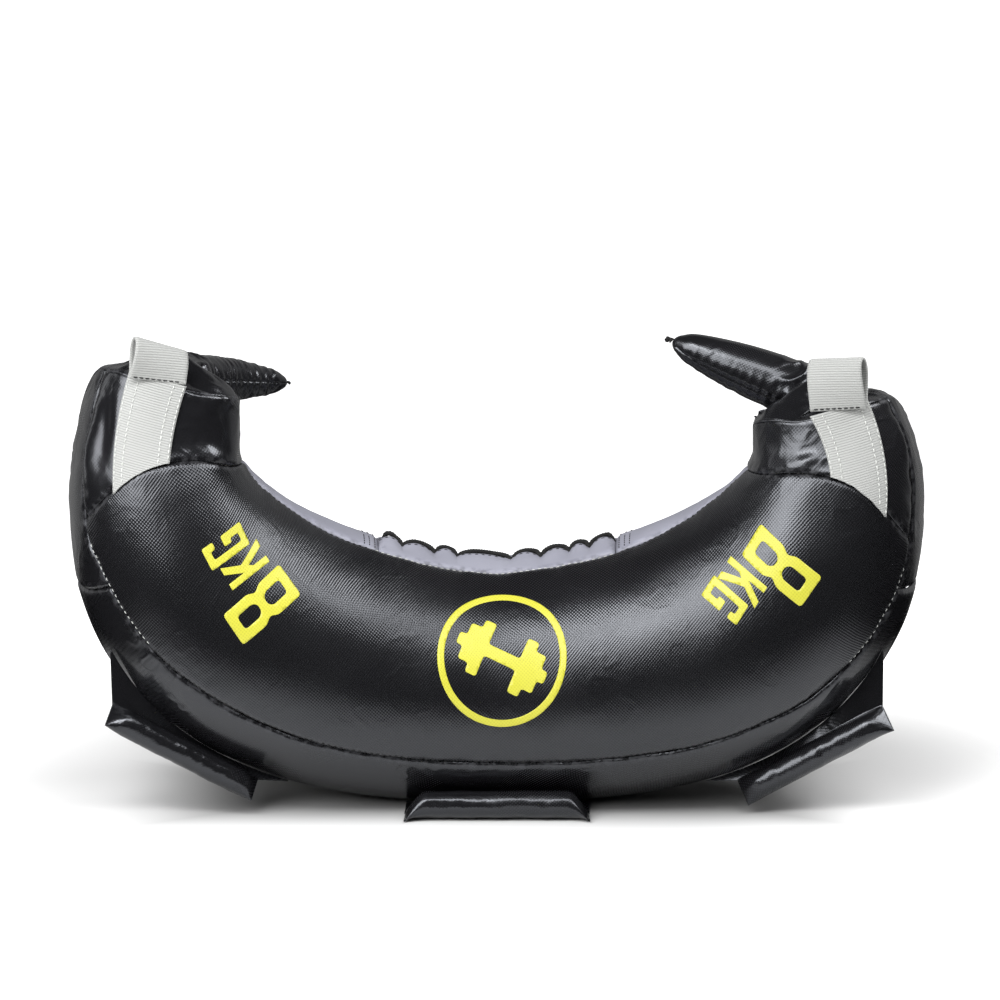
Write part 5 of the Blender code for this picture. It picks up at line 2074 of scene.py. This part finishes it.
@dataclass
class Grip:
    """An outer grip: a flap of fabric with a stuffed tube along its edge."""

    shape: BagShape
    name: str
    body: str
    seat: Array
    along: Array
    radial: Array
    length: float
    web: float
    middle: float | None = None
    shift: float = 0.0
    tube: float = 0.0088
    fabric: float = 0.0006
    layer_gap: float = 0.0003
    seat_gap: float = 0.0003
    seam_angle: float = 74.0
    web_share: float = 0.15
    pinch_length: float = 0.015
    flat_spread: float = 1.06
    stuffing_gap: float = 0.0016
    girth: float = 0.075
    floor_gap: float = 0.0003
    web_fade: float = 0.08
    slack_height: float = 0.0003
    slack_pitch: tuple = (0.010, 5.0)
    gather_height: float = 0.0009
    gather_pitch: tuple = (0.020, 16.0)
    gather_fade: float = 0.012
    stuffing_end: float = 0.06
    stuffing_waves: tuple = (0.04, 900.0)
    stuffing_least: float = 0.0002
    steps: tuple[int, int] = (130, 96)

    SIDE_PLACE = 0.60
    SIDE_SIZES = (0.108, 0.006)
    MIDDLE_PLACE = (0.0, -0.027, 0.0003)
    MIDDLE_SIZES = (0.120, 0.027)

    @classmethod
    def at_side(cls, shape: BagShape, end: EndSizes) -> "Grip":
        """The grip on the gusset of one side.

        Args:
            shape: The bag's outline.
            end: Its side.

        Returns:
            The grip.
        """
        middle = end.sign * cls.SIDE_PLACE * shape.arc
        angle = math.radians(cls.seam_angle)
        centre, outward, _ = shape.middle(np.array([middle]))
        root = shape.surface(np.array([middle]), np.array([angle]))[0]
        turn = np.array(Matrix.Rotation(-centre[0, 0] / shape.wrap_radius, 3, "Z"))
        out = turn @ np.array([outward[0, 0], 0.0, outward[0, 1]])
        along = turn @ np.array([-outward[0, 1], 0.0, outward[0, 0]])
        seat = root + out * (cls.seat_gap + cls.fabric + cls.layer_gap / 2)
        tilt = Matrix.Rotation(math.radians(end.grip_tilt), 3, Vector(along))
        radial = np.array(tilt @ Vector(out))
        if radial[1] > out[1]:
            radial = np.array(tilt.inverted() @ Vector(out))
        body = end.name + "_grip"
        return cls(shape, end.name, body, seat, along, radial, *cls.SIDE_SIZES, middle=middle)

    @classmethod
    def in_middle(cls, shape: BagShape) -> "Grip":
        """The grip under the bag, folded forwards."""
        half = cls.fabric + cls.layer_gap / 2
        seat = np.array(cls.MIDDLE_PLACE) + np.array([0.0, 0.0, cls.fabric + half])
        along, ahead = np.array([-1.0, 0.0, 0.0]), np.array([0.0, -1.0, 0.0])
        shift = cls.tube - half
        return cls(shape, "centre", "centre_grip", seat, along, ahead, *cls.MIDDLE_SIZES, shift=shift)

    def root(self, far: Array) -> Array:
        """The line where the flap is sewn on."""
        if self.middle is None:
            return self.seat + self.along * far[..., None]
        reach = self.middle + far
        centre, outward, _ = self.shape.middle(reach)
        surface = self.shape.surface(reach, np.full_like(reach, math.radians(self.seam_angle)))
        turn = -centre[..., 0] / self.shape.wrap_radius
        out = np.stack(
            [outward[..., 0] * np.cos(turn), outward[..., 0] * np.sin(turn), outward[..., 1]], -1
        )
        return surface + out * (self.seat_gap + self.fabric + self.layer_gap / 2)

    def sleeve(self) -> ClothGrid:
        """The folded sleeve as cloth, pinched flat at both ends."""
        side = unit(np.cross(self.along, self.radial))
        half = self.fabric + self.layer_gap / 2
        start = math.asin(max((half - self.shift) / self.tube, -1.0))
        stop = FULL_TURN + math.asin(max((-half - self.shift) / self.tube, -1.0))
        u, v = grid(self.steps)
        u = (smooth(u) + u) / 2
        far = lerp(-self.length / 2, self.length / 2, u)
        share = self.web_share
        t = np.clip((v - share) / (1 - 2 * share), 0.0, 1.0)
        turn = lerp(start, stop, t)
        full = smooth(np.minimum(u, 1 - u) * self.length / self.pinch_length) ** 0.5
        radius = self.tube * lerp(self.flat_spread, 1.0, full)
        line = self.seat + self.along * far[..., None]

        def profile(angle: Array, at: Array) -> Array:
            """Points of the tube at some angles, at shares of the way round it."""
            layer = half * np.clip(np.cos(math.pi * at) * 6.0, -1.0, 1.0)
            across = lerp(layer, self.shift + self.tube * np.sin(angle), full)
            out = self.web + radius * (1.0 - np.cos(angle))
            return line + self.radial * out[..., None] + side * across[..., None]

        tube = profile(turn, t)
        base = self.root(far)
        first, last = profile(np.full_like(t, start), t * 0), profile(np.full_like(t, stop), t * 0 + 1)
        web_first = lerp(base + side * half, first, np.clip(v / share, 0, 1)[..., None])
        web_last = lerp(base - side * half, last, np.clip((1 - v) / share, 0, 1)[..., None])
        points = np.where((v < share)[..., None], web_first, tube)
        points = np.where((v > 1 - share)[..., None], web_last, points)
        inside = line + self.radial * (self.web + self.tube) + side * self.shift
        cloth = ClothGrid(points, inside)
        on_tube = smooth((v - share) / self.web_fade) * smooth((1 - share - v) / self.web_fade)
        zero = np.zeros_like(far)
        lines = np.stack([far / self.slack_pitch[0], t * self.slack_pitch[1], zero], -1)
        cloth.relief += self.slack_height * Noise.rough(lines, 91) * on_tube * full
        gathers = np.stack([far / self.gather_pitch[0], t * self.gather_pitch[1], zero], -1)
        near = np.exp(-np.minimum(u, 1 - u) * self.length / self.gather_fade)
        cloth.relief += self.gather_height * Noise.lumps(gathers, 95) * on_tube * near * full
        cloth.flat = np.stack([far, v * self.girth], -1)
        cloth.settle(self.floor_gap)
        return cloth

    def build(self, wardrobe: Wardrobe) -> None:
        """Builds and dresses the grip."""
        node = self.name + "_grip_sleeve"
        piece = self.sleeve().make(node + "_cloth", self.fabric)
        wardrobe.dress(piece, "glossy", self.body, node)
        node = self.name + "_grip_stuffing"
        wardrobe.dress(self.stuffing(node + "_fibre"), "stuffing", self.body, node)

    def stuffing(self, name: str) -> bpy.types.Object:
        """The tube's filling, thinner towards the flat ends of the sleeve."""
        share = np.linspace(self.stuffing_end, 1.0 - self.stuffing_end, 60)
        far = lerp(-self.length / 2, self.length / 2, share)
        full = smooth(np.minimum(share, 1 - share) * self.length / self.pinch_length) ** 0.5
        inner = smooth((np.minimum(share, 1 - share) - 0.055) * self.length / self.pinch_length) ** 0.5
        side = unit(np.cross(self.along, self.radial))
        radius = self.tube * lerp(self.flat_spread, 1.0, full)
        line = self.seat + self.along * far[:, None] + self.radial * (self.web + radius)[:, None]
        line = line + side * (self.shift * full)[:, None]
        height, rate = self.stuffing_waves
        waves = 1 + height * np.sin(far * rate)
        radii = (self.tube - self.fabric - self.stuffing_gap) * inner * waves
        return Tube.along(name, line, np.maximum(radii, self.stuffing_least), 14)


class Outline:
    """Flat outlines of the prints, in shares of a glyph's width and height."""

    STROKE = 0.29
    BAR = 0.135

    @classmethod
    def eight(cls) -> list[list[tuple[float, float]]]:
        """The figure eight: a body with a waist, and two holes."""
        s, b = cls.STROKE, cls.BAR
        side = [(1, 0), (1, 0.40), (0.86, 0.5), (1, 0.60), (1, 1)]
        body = side + [(1 - x, y) for x, y in reversed(side)]
        low = [(s, b), (1 - s, b), (1 - s, 0.38), (0.60, 0.44), (0.40, 0.44), (s, 0.38)]
        high = [(x, 1 - y) for x, y in reversed(low)]
        return [body, low, high]

    @classmethod
    def kay(cls) -> list[list[tuple[float, float]]]:
        """The letter K."""
        s = cls.STROKE
        return [
            [
                (0, 0), (s, 0), (s, 0.36), (0.42, 0.45), (0.74, 0), (1.08, 0), (0.62, 0.60),
                (1.06, 1), (0.72, 1), (s, 0.62), (s, 1), (0, 1),
            ]
        ]

    @classmethod
    def gee(cls) -> list[list[tuple[float, float]]]:
        """The letter G."""
        s, b = cls.STROKE * 1.1, cls.BAR * 1.1
        return [
            [
                (0, 0), (1, 0), (1, 0.54), (0.52, 0.54), (0.52, 0.36), (1 - s, 0.36), (1 - s, b),
                (s, b), (s, 1 - b), (1 - s, 1 - b), (1 - s, 0.74), (1, 0.74), (1, 1), (0, 1),
            ]
        ]

    @staticmethod
    def rounded(points: Sequence[tuple], radius: float, steps: int = 4) -> list[tuple[float, float]]:
        """An outline with its corners rounded.

        Args:
            points: The outline in real sizes.
            radius: Radius of the corners.
            steps: Points in each corner.

        Returns:
            The rounded outline.
        """
        result = []
        count = len(points)
        for i in range(count):
            before, at, after = (np.array(points[(i + k) % count], float) for k in (-1, 0, 1))
            a, b = before - at, after - at
            room = min(radius, 0.45 * np.linalg.norm(a), 0.45 * np.linalg.norm(b))
            first, last = at + a / np.linalg.norm(a) * room, at + b / np.linalg.norm(b) * room
            for t in np.linspace(0.0, 1.0, steps + 1):
                result.append(tuple(first * (1 - t) ** 2 + at * 2 * t * (1 - t) + last * t**2))
        return result

    @staticmethod
    def circle(radius: float, steps: int = 96) -> list[tuple[float, float]]:
        """A round outline."""
        turns = np.linspace(0.0, FULL_TURN, steps, endpoint=False)
        return [(radius * math.cos(t), radius * math.sin(t)) for t in turns]


@dataclass
class Prints:
    """The yellow prints: the weight mark at each side and a plain sign in the middle."""

    LIFT = 0.00014
    pattern: Pattern
    thickness: float = 0.00008
    ring_centre: tuple[float, float] = (0.0036, 0.1110)
    sign_turn: float = 66.0
    cell: float = 0.0022
    ring_radius: float = 0.0455
    ring_width: float = 0.0048

    GLYPHS = {
        "eight": (Outline.eight, (0.0235, 0.0512), 0.0026),
        "kay": (Outline.kay, (0.0150, 0.0325), 0.0004),
        "gee": (Outline.gee, (0.0150, 0.0315), 0.0014),
    }
    PLACES = (
        ("left", "eight", (-0.1641, 0.1470), -144.5),
        ("left", "kay", (-0.1749, 0.1712), -149.4),
        ("left", "gee", (-0.1882, 0.1831), -151.8),
        ("right", "eight", (0.1975, 0.1718), -35.2),
        ("right", "kay", (0.1716, 0.1611), -32.6),
        ("right", "gee", (0.1595, 0.1495), -34.2),
    )

    def filled(self, outlines: Sequence[Sequence[tuple]]) -> bmesh.types.BMesh:
        """The flat shape of some outlines, cut into small cells so that it can bend.

        Args:
            outlines: Outlines in metres; those inside others are holes.

        Returns:
            The shape as a mesh in the XY plane.
        """
        curve = bpy.data.curves.new("outline", "CURVE")
        curve.dimensions = "2D"
        curve.fill_mode = "FRONT"
        for outline in outlines:
            spline = curve.splines.new("POLY")
            spline.points.add(len(outline) - 1)
            for target, (x, y) in zip(spline.points, outline):
                target.co = (x, y, 0.0, 1.0)
            spline.use_cyclic_u = True
        holder = bpy.data.objects.new("outline", curve)
        bpy.context.scene.collection.objects.link(holder)
        bpy.context.view_layer.update()
        drawn = holder.evaluated_get(bpy.context.evaluated_depsgraph_get())
        mesh = bpy.data.meshes.new_from_object(drawn)
        bpy.data.objects.remove(holder)
        bm = bmesh.new()
        bm.from_mesh(mesh)
        bmesh.ops.remove_doubles(bm, verts=bm.verts, dist=1e-6)
        places = np.array([v.co[:2] for v in bm.verts])
        for axis in (0, 1):
            for at in np.arange(places[:, axis].min() + self.cell, places[:, axis].max(), self.cell):
                point, normal = [0.0, 0.0, 0.0], [0.0, 0.0, 0.0]
                point[axis], normal[axis] = float(at), 1.0
                bmesh.ops.bisect_plane(
                    bm, geom=bm.verts[:] + bm.edges[:] + bm.faces[:], plane_co=point, plane_no=normal
                )
        return bm

    def lay(self, name: str, outlines: Sequence, wardrobe: Wardrobe) -> None:
        """Lays a print on the front panel.

        Args:
            name: The print's name.
            outlines: Its outlines on the panel's flat cut.
            wardrobe: The finishes.
        """
        bm = self.filled(outlines)
        flat = np.array([v.co[:2] for v in bm.verts])
        for vert, at in zip(bm.verts, flat):
            vert.co = self.pattern.place(at)
        mesh = mesh_of(name, bm)
        put_flat(mesh, flat)
        wardrobe.dress(show(mesh, self.thickness), "ink", "bag")

    @staticmethod
    def turned(points: Sequence[tuple], centre: tuple, turn: float) -> list[tuple[float, float]]:
        """Points moved and turned so that their upward direction points along an angle.

        Args:
            points: Points around the origin.
            centre: Their new middle.
            turn: Angle of their upward direction, in degrees.

        Returns:
            The moved points.
        """
        cos, sin = math.cos(math.radians(turn)), math.sin(math.radians(turn))
        return [(centre[0] + x * sin + y * cos, centre[1] - x * cos + y * sin) for x, y in points]

    def build(self, wardrobe: Wardrobe) -> None:
        """Builds the weight marks and the middle sign."""
        for side, glyph, centre, turn in self.PLACES:
            shapes, (width, height), corner = self.GLYPHS[glyph]
            outlines = []
            for points in shapes():
                sized = [((x - 0.5) * width, (y - 0.5) * height) for x, y in points]
                outlines.append(self.turned(Outline.rounded(sized, corner), centre, turn))
            self.lay(f"{side}_print_{glyph}", outlines, wardrobe)
        radii = (self.ring_radius, self.ring_radius - self.ring_width)
        ring = [self.turned(Outline.circle(radius), self.ring_centre, 90.0) for radius in radii]
        self.lay("middle_print_ring", ring, wardrobe)
        sign = self.turned(self.dumbbell(), self.ring_centre, self.sign_turn)
        self.lay("middle_print_dumbbell", [sign], wardrobe)

    @staticmethod
    def dumbbell() -> list[tuple[float, float]]:
        """A plain dumbbell sign: a bar with two plates at each end."""
        bar, inner, outer = 0.0042, 0.0190, 0.0130
        near, middle, far, tip = 0.0120, 0.0205, 0.0285, 0.0335
        right = [(near, -bar), (near, -inner), (middle, -inner), (middle, -outer), (far, -outer)]
        right += [(far, -bar), (tip, -bar)]
        upper = [(x, -y) for x, y in reversed(right)]
        half = right + upper
        corner = 0.0022
        return Outline.rounded(half + [(-x, -y) for x, y in half], corner)


@dataclass
class SeamThread:
    """Thread beside the bag's main seams."""

    shell: Shell
    away: float = 0.0020
    stitching: Stitching = field(default_factory=lambda: Stitching(0.0026, 0.0014, 0.00024))

    ROWS = (
        ("front_panel", Edge.HIGH, (0.02, 0.13), "white_thread"),
        ("front_panel", Edge.HIGH, (0.13, 0.88), "black_thread"),
        ("front_panel", Edge.HIGH, (0.88, 0.98), "white_thread"),
        ("front_panel", Edge.LOW, (0.03, 0.33), "black_thread"),
        ("front_panel", Edge.LOW, (0.33, 0.68), "white_thread"),
        ("front_panel", Edge.LOW, (0.68, 0.97), "black_thread"),
        ("back_panel", Edge.LOW, (0.02, 0.98), "black_thread"),
        ("back_panel", Edge.HIGH, (0.03, 0.97), "white_thread"),
    )

    def build(self, wardrobe: Wardrobe) -> None:
        """Sews the rows."""
        for number, (node, edge, part, finish) in enumerate(self.ROWS):
            line = self.shell.cloths[node].line(edge, self.away, part)
            row = self.stitching.sew(f"{node}_{edge.value}_thread_{number}", *line)
            wardrobe.dress(row, finish, "bag")


@dataclass
class Studio:
    """Floor, background, lamps and camera."""

    target: tuple = (0.002, 0.0, 0.1997)
    distance: float = 1.9
    elevation: float = 9.0
    pixel: float = 0.00066
    image_pixels: float = 1000.0
    sensor: float = 36.0
    lamp_distance: float = 1.3
    room_light: float = 0.035
    paper_white: tuple = (0.8, 0.8, 0.8)
    # Colour of the paper under the bag: a painted shadow.
    paper_painted_shadow: tuple = (0.30, 0.30, 0.30)
    paper_half: float = 4.0
    paper_bend: tuple = (1.6, 0.9)
    paper_top: float = 3.2

    AIM = (0.0, 0.0, 0.12)
    # Turn from the front and lift in degrees, width and height in metres, power in watts.
    LAMPS = {
        "left_box": (-40.0, 32.0, (1.05, 0.90), 23.0),
        "front_bank": (2.0, 49.0, (1.30, 0.34), 10.5),
        "right_box": (76.0, 48.0, (0.90, 0.40), 11.0),
        "left_strip": (-98.0, 18.0, (0.22, 0.9), 1.0),
        "right_strip": (100.0, 54.0, (0.40, 0.30), 0.9),
    }
    # Ranges in metres: from the bag outwards, to the sides or to the front and back.
    WHITE_RANGE = (0.26, 0.62)
    BEHIND_RANGE = (0.3, 0.8)
    BEHIND_GLOW = (0.0, 0.32)
    # The paper is painted darker inside these ranges round the bag: a painted shadow.
    PAINTED_SHADOW_RANGES = ((0.15, 0.27), (0.03, 0.10))
    DULL_RANGES = ((0.30, 0.42), (0.14, 0.28))

    def camera(self) -> None:
        """Places the camera where the photograph was taken from."""
        data = bpy.data.cameras.new("camera")
        data.sensor_width = self.sensor
        data.lens = self.sensor * self.distance / (self.pixel * self.image_pixels)
        data.clip_end = 50.0
        camera = self.placed("camera", data)
        lift = math.radians(self.elevation)
        back = Vector((0.0, -math.cos(lift), math.sin(lift)))
        camera.location = Vector(self.target) + back * self.distance
        camera.rotation_euler = (-back).to_track_quat("-Z", "Y").to_euler()
        bpy.context.scene.camera = camera

    @staticmethod
    def placed(name: str, data: bpy.types.ID) -> bpy.types.Object:
        """An object in the scene for a camera or a lamp."""
        obj = bpy.data.objects.new(name, data)
        bpy.context.scene.collection.objects.link(obj)
        return obj

    @classmethod
    def lamp(cls, name: str, place: tuple, size: tuple, power: float) -> None:
        """A softbox that faces the bag.

        Args:
            name: The lamp's name.
            place: Where it hangs.
            size: Its width and height.
            power: Its power in watts.
        """
        data = bpy.data.lights.new(name, "AREA")
        data.shape = "RECTANGLE"
        data.size, data.size_y = size
        data.energy = power
        lamp = cls.placed(name, data)
        lamp.location = place
        lamp.rotation_euler = (Vector(cls.AIM) - Vector(place)).to_track_quat("-Z", "Y").to_euler()
        lamp.visible_camera = False

    def lamps(self) -> None:
        """Hangs three softboxes round the front and right, and two small strips at the sides."""
        for name, (turn, lift, size, power) in self.LAMPS.items():
            self.lamp(name, self.around(turn, lift, self.lamp_distance), size, power)

    def around(self, turn: float, lift: float, away: float) -> tuple:
        """A place round the bag: turned from the front towards the right, lifted, in degrees."""
        side, up = math.radians(turn), math.radians(lift)
        flat = away * math.cos(up)
        return (flat * math.sin(side), -flat * math.cos(side), self.AIM[2] + away * math.sin(up))

    def paper(self) -> bpy.types.Material:
        """White paper with a painted shadow under the bag, and plain white to the camera farther away.

        To glossy and transmission rays it is black farther out, with a weak glow behind the bag.
        """
        material = bpy.data.materials.new("white_paper")
        material.use_nodes = True
        graph = Graph(material.node_tree)
        graph.tree.nodes.clear()
        path = graph.node("ShaderNodeLightPath").outputs
        place = graph.node("ShaderNodeTexCoord").outputs["Object"]
        away = graph.node("ShaderNodeVectorMath", {0: place}, operation="LENGTH").outputs["Value"]
        split = graph.node("ShaderNodeSeparateXYZ", {0: place}).outputs
        sides = [graph.math("ABSOLUTE", split[axis]) for axis in (0, 1)]

        def outside(ranges: Sequence[tuple[float, float]]) -> bpy.types.NodeSocket:
            """0 near the bag and 1 beyond the ranges, to its sides or to its front and back."""
            return graph.math("MAXIMUM", *[graph.spread(s, *r) for s, r in zip(sides, ranges)])

        mirrored = graph.math("MAXIMUM", path["Is Glossy Ray"], path["Is Transmission Ray"])
        for_camera = graph.math("MULTIPLY", path["Is Camera Ray"], graph.spread(away, *self.WHITE_RANGE))
        behind = graph.spread(split[1], *self.BEHIND_RANGE, self.BEHIND_GLOW)
        glow = graph.math("ADD", for_camera, graph.math("MULTIPLY", mirrored, behind))
        # Painted shadow: the paper is darker under the bag than elsewhere.
        tone = graph.mix(outside(self.PAINTED_SHADOW_RANGES), self.paper_painted_shadow, self.paper_white)
        paper = graph.node("ShaderNodeBsdfDiffuse", {"Color": tone}).outputs[0]
        black = graph.node("ShaderNodeBsdfDiffuse", {"Color": (0.0, 0.0, 0.0)}).outputs[0]
        dull = graph.math("MULTIPLY", mirrored, outside(self.DULL_RANGES))
        paper = graph.node("ShaderNodeMixShader", {0: dull, 1: paper, 2: black}).outputs[0]
        light = graph.node("ShaderNodeEmission", {"Strength": glow}).outputs[0]
        both = graph.node("ShaderNodeAddShader", {0: paper, 1: light}).outputs[0]
        graph.node("ShaderNodeOutputMaterial", {"Surface": both})
        return material

    def floor(self) -> None:
        """Lays a paper sweep under and behind the bag."""
        bm = bmesh.new()
        half, (start, radius) = self.paper_half, self.paper_bend
        bend = np.linspace(0.0, QUARTER, 13)[1:]
        profile = [(-half, 0.0), (start, 0.0)]
        profile += [(start + radius * math.sin(t), radius * (1 - math.cos(t))) for t in bend]
        profile += [(start + radius, self.paper_top)]
        rows = [[bm.verts.new((x, y, z)) for x in (-half, half)] for y, z in profile]
        for row, after in zip(rows, rows[1:]):
            bm.faces.new((row[0], row[1], after[1], after[0]))
        mesh = mesh_of("paper_sweep", bm)
        mesh.materials.append(self.paper())
        sweep = show(mesh)
        sweep.location.z = -0.0002

    def world(self) -> None:
        """A dim room that the camera sees as white."""
        world = bpy.data.worlds.new("room")
        bpy.context.scene.world = world
        world.use_nodes = True
        graph = Graph(world.node_tree)
        graph.tree.nodes.clear()
        path = graph.node("ShaderNodeLightPath").outputs
        dim, white = (
            graph.node("ShaderNodeBackground", {"Color": (1.0, 1.0, 1.0), "Strength": strength}).outputs[0]
            for strength in (self.room_light, 1.0)
        )
        mixed = graph.node("ShaderNodeMixShader", {0: path["Is Camera Ray"], 1: dim, 2: white}).outputs[0]
        graph.node("ShaderNodeOutputWorld", {"Surface": mixed})

    def build(self) -> None:
        """Sets up the studio."""
        bpy.context.scene.view_settings.view_transform = "Standard"
        self.camera()
        self.lamps()
        self.floor()
        self.world()


def main() -> None:
    """Builds the bag's looks piece by piece."""
    logging.basicConfig(level=logging.INFO, format="%(message)s")
    slots = [item["slot"] for item in frame["record"]["materials"]]
    Studio().build()
    wardrobe = Wardrobe(slots)
    shape = BagShape()
    shell = Shell(shape)
    shell.build(wardrobe)
    band = NeckBand(shape)
    band.build(wardrobe)
    Lace(shape, band).build(wardrobe)
    SeamThread(shell).build(wardrobe)
    for end in ENDS:
        EndDress(shape, end).build(wardrobe)
        Horn(shape, end).build(wardrobe)
        ShoulderFlap(shape, end).build(wardrobe)
        Grip.at_side(shape, end).build(wardrobe)
    Grip.in_middle(shape).build(wardrobe)
    pattern = Pattern(shell.cloths["front_panel"], Prints.LIFT)
    Prints(pattern).build(wardrobe)
    for node in frame["nodes"]:
        if node.endswith("sand_bag"):
            wardrobe.recolour(node, "sack")
        elif node.endswith("stuffing"):
            wardrobe.recolour(node, "stuffing")


if __name__ == "__main__":
    main()
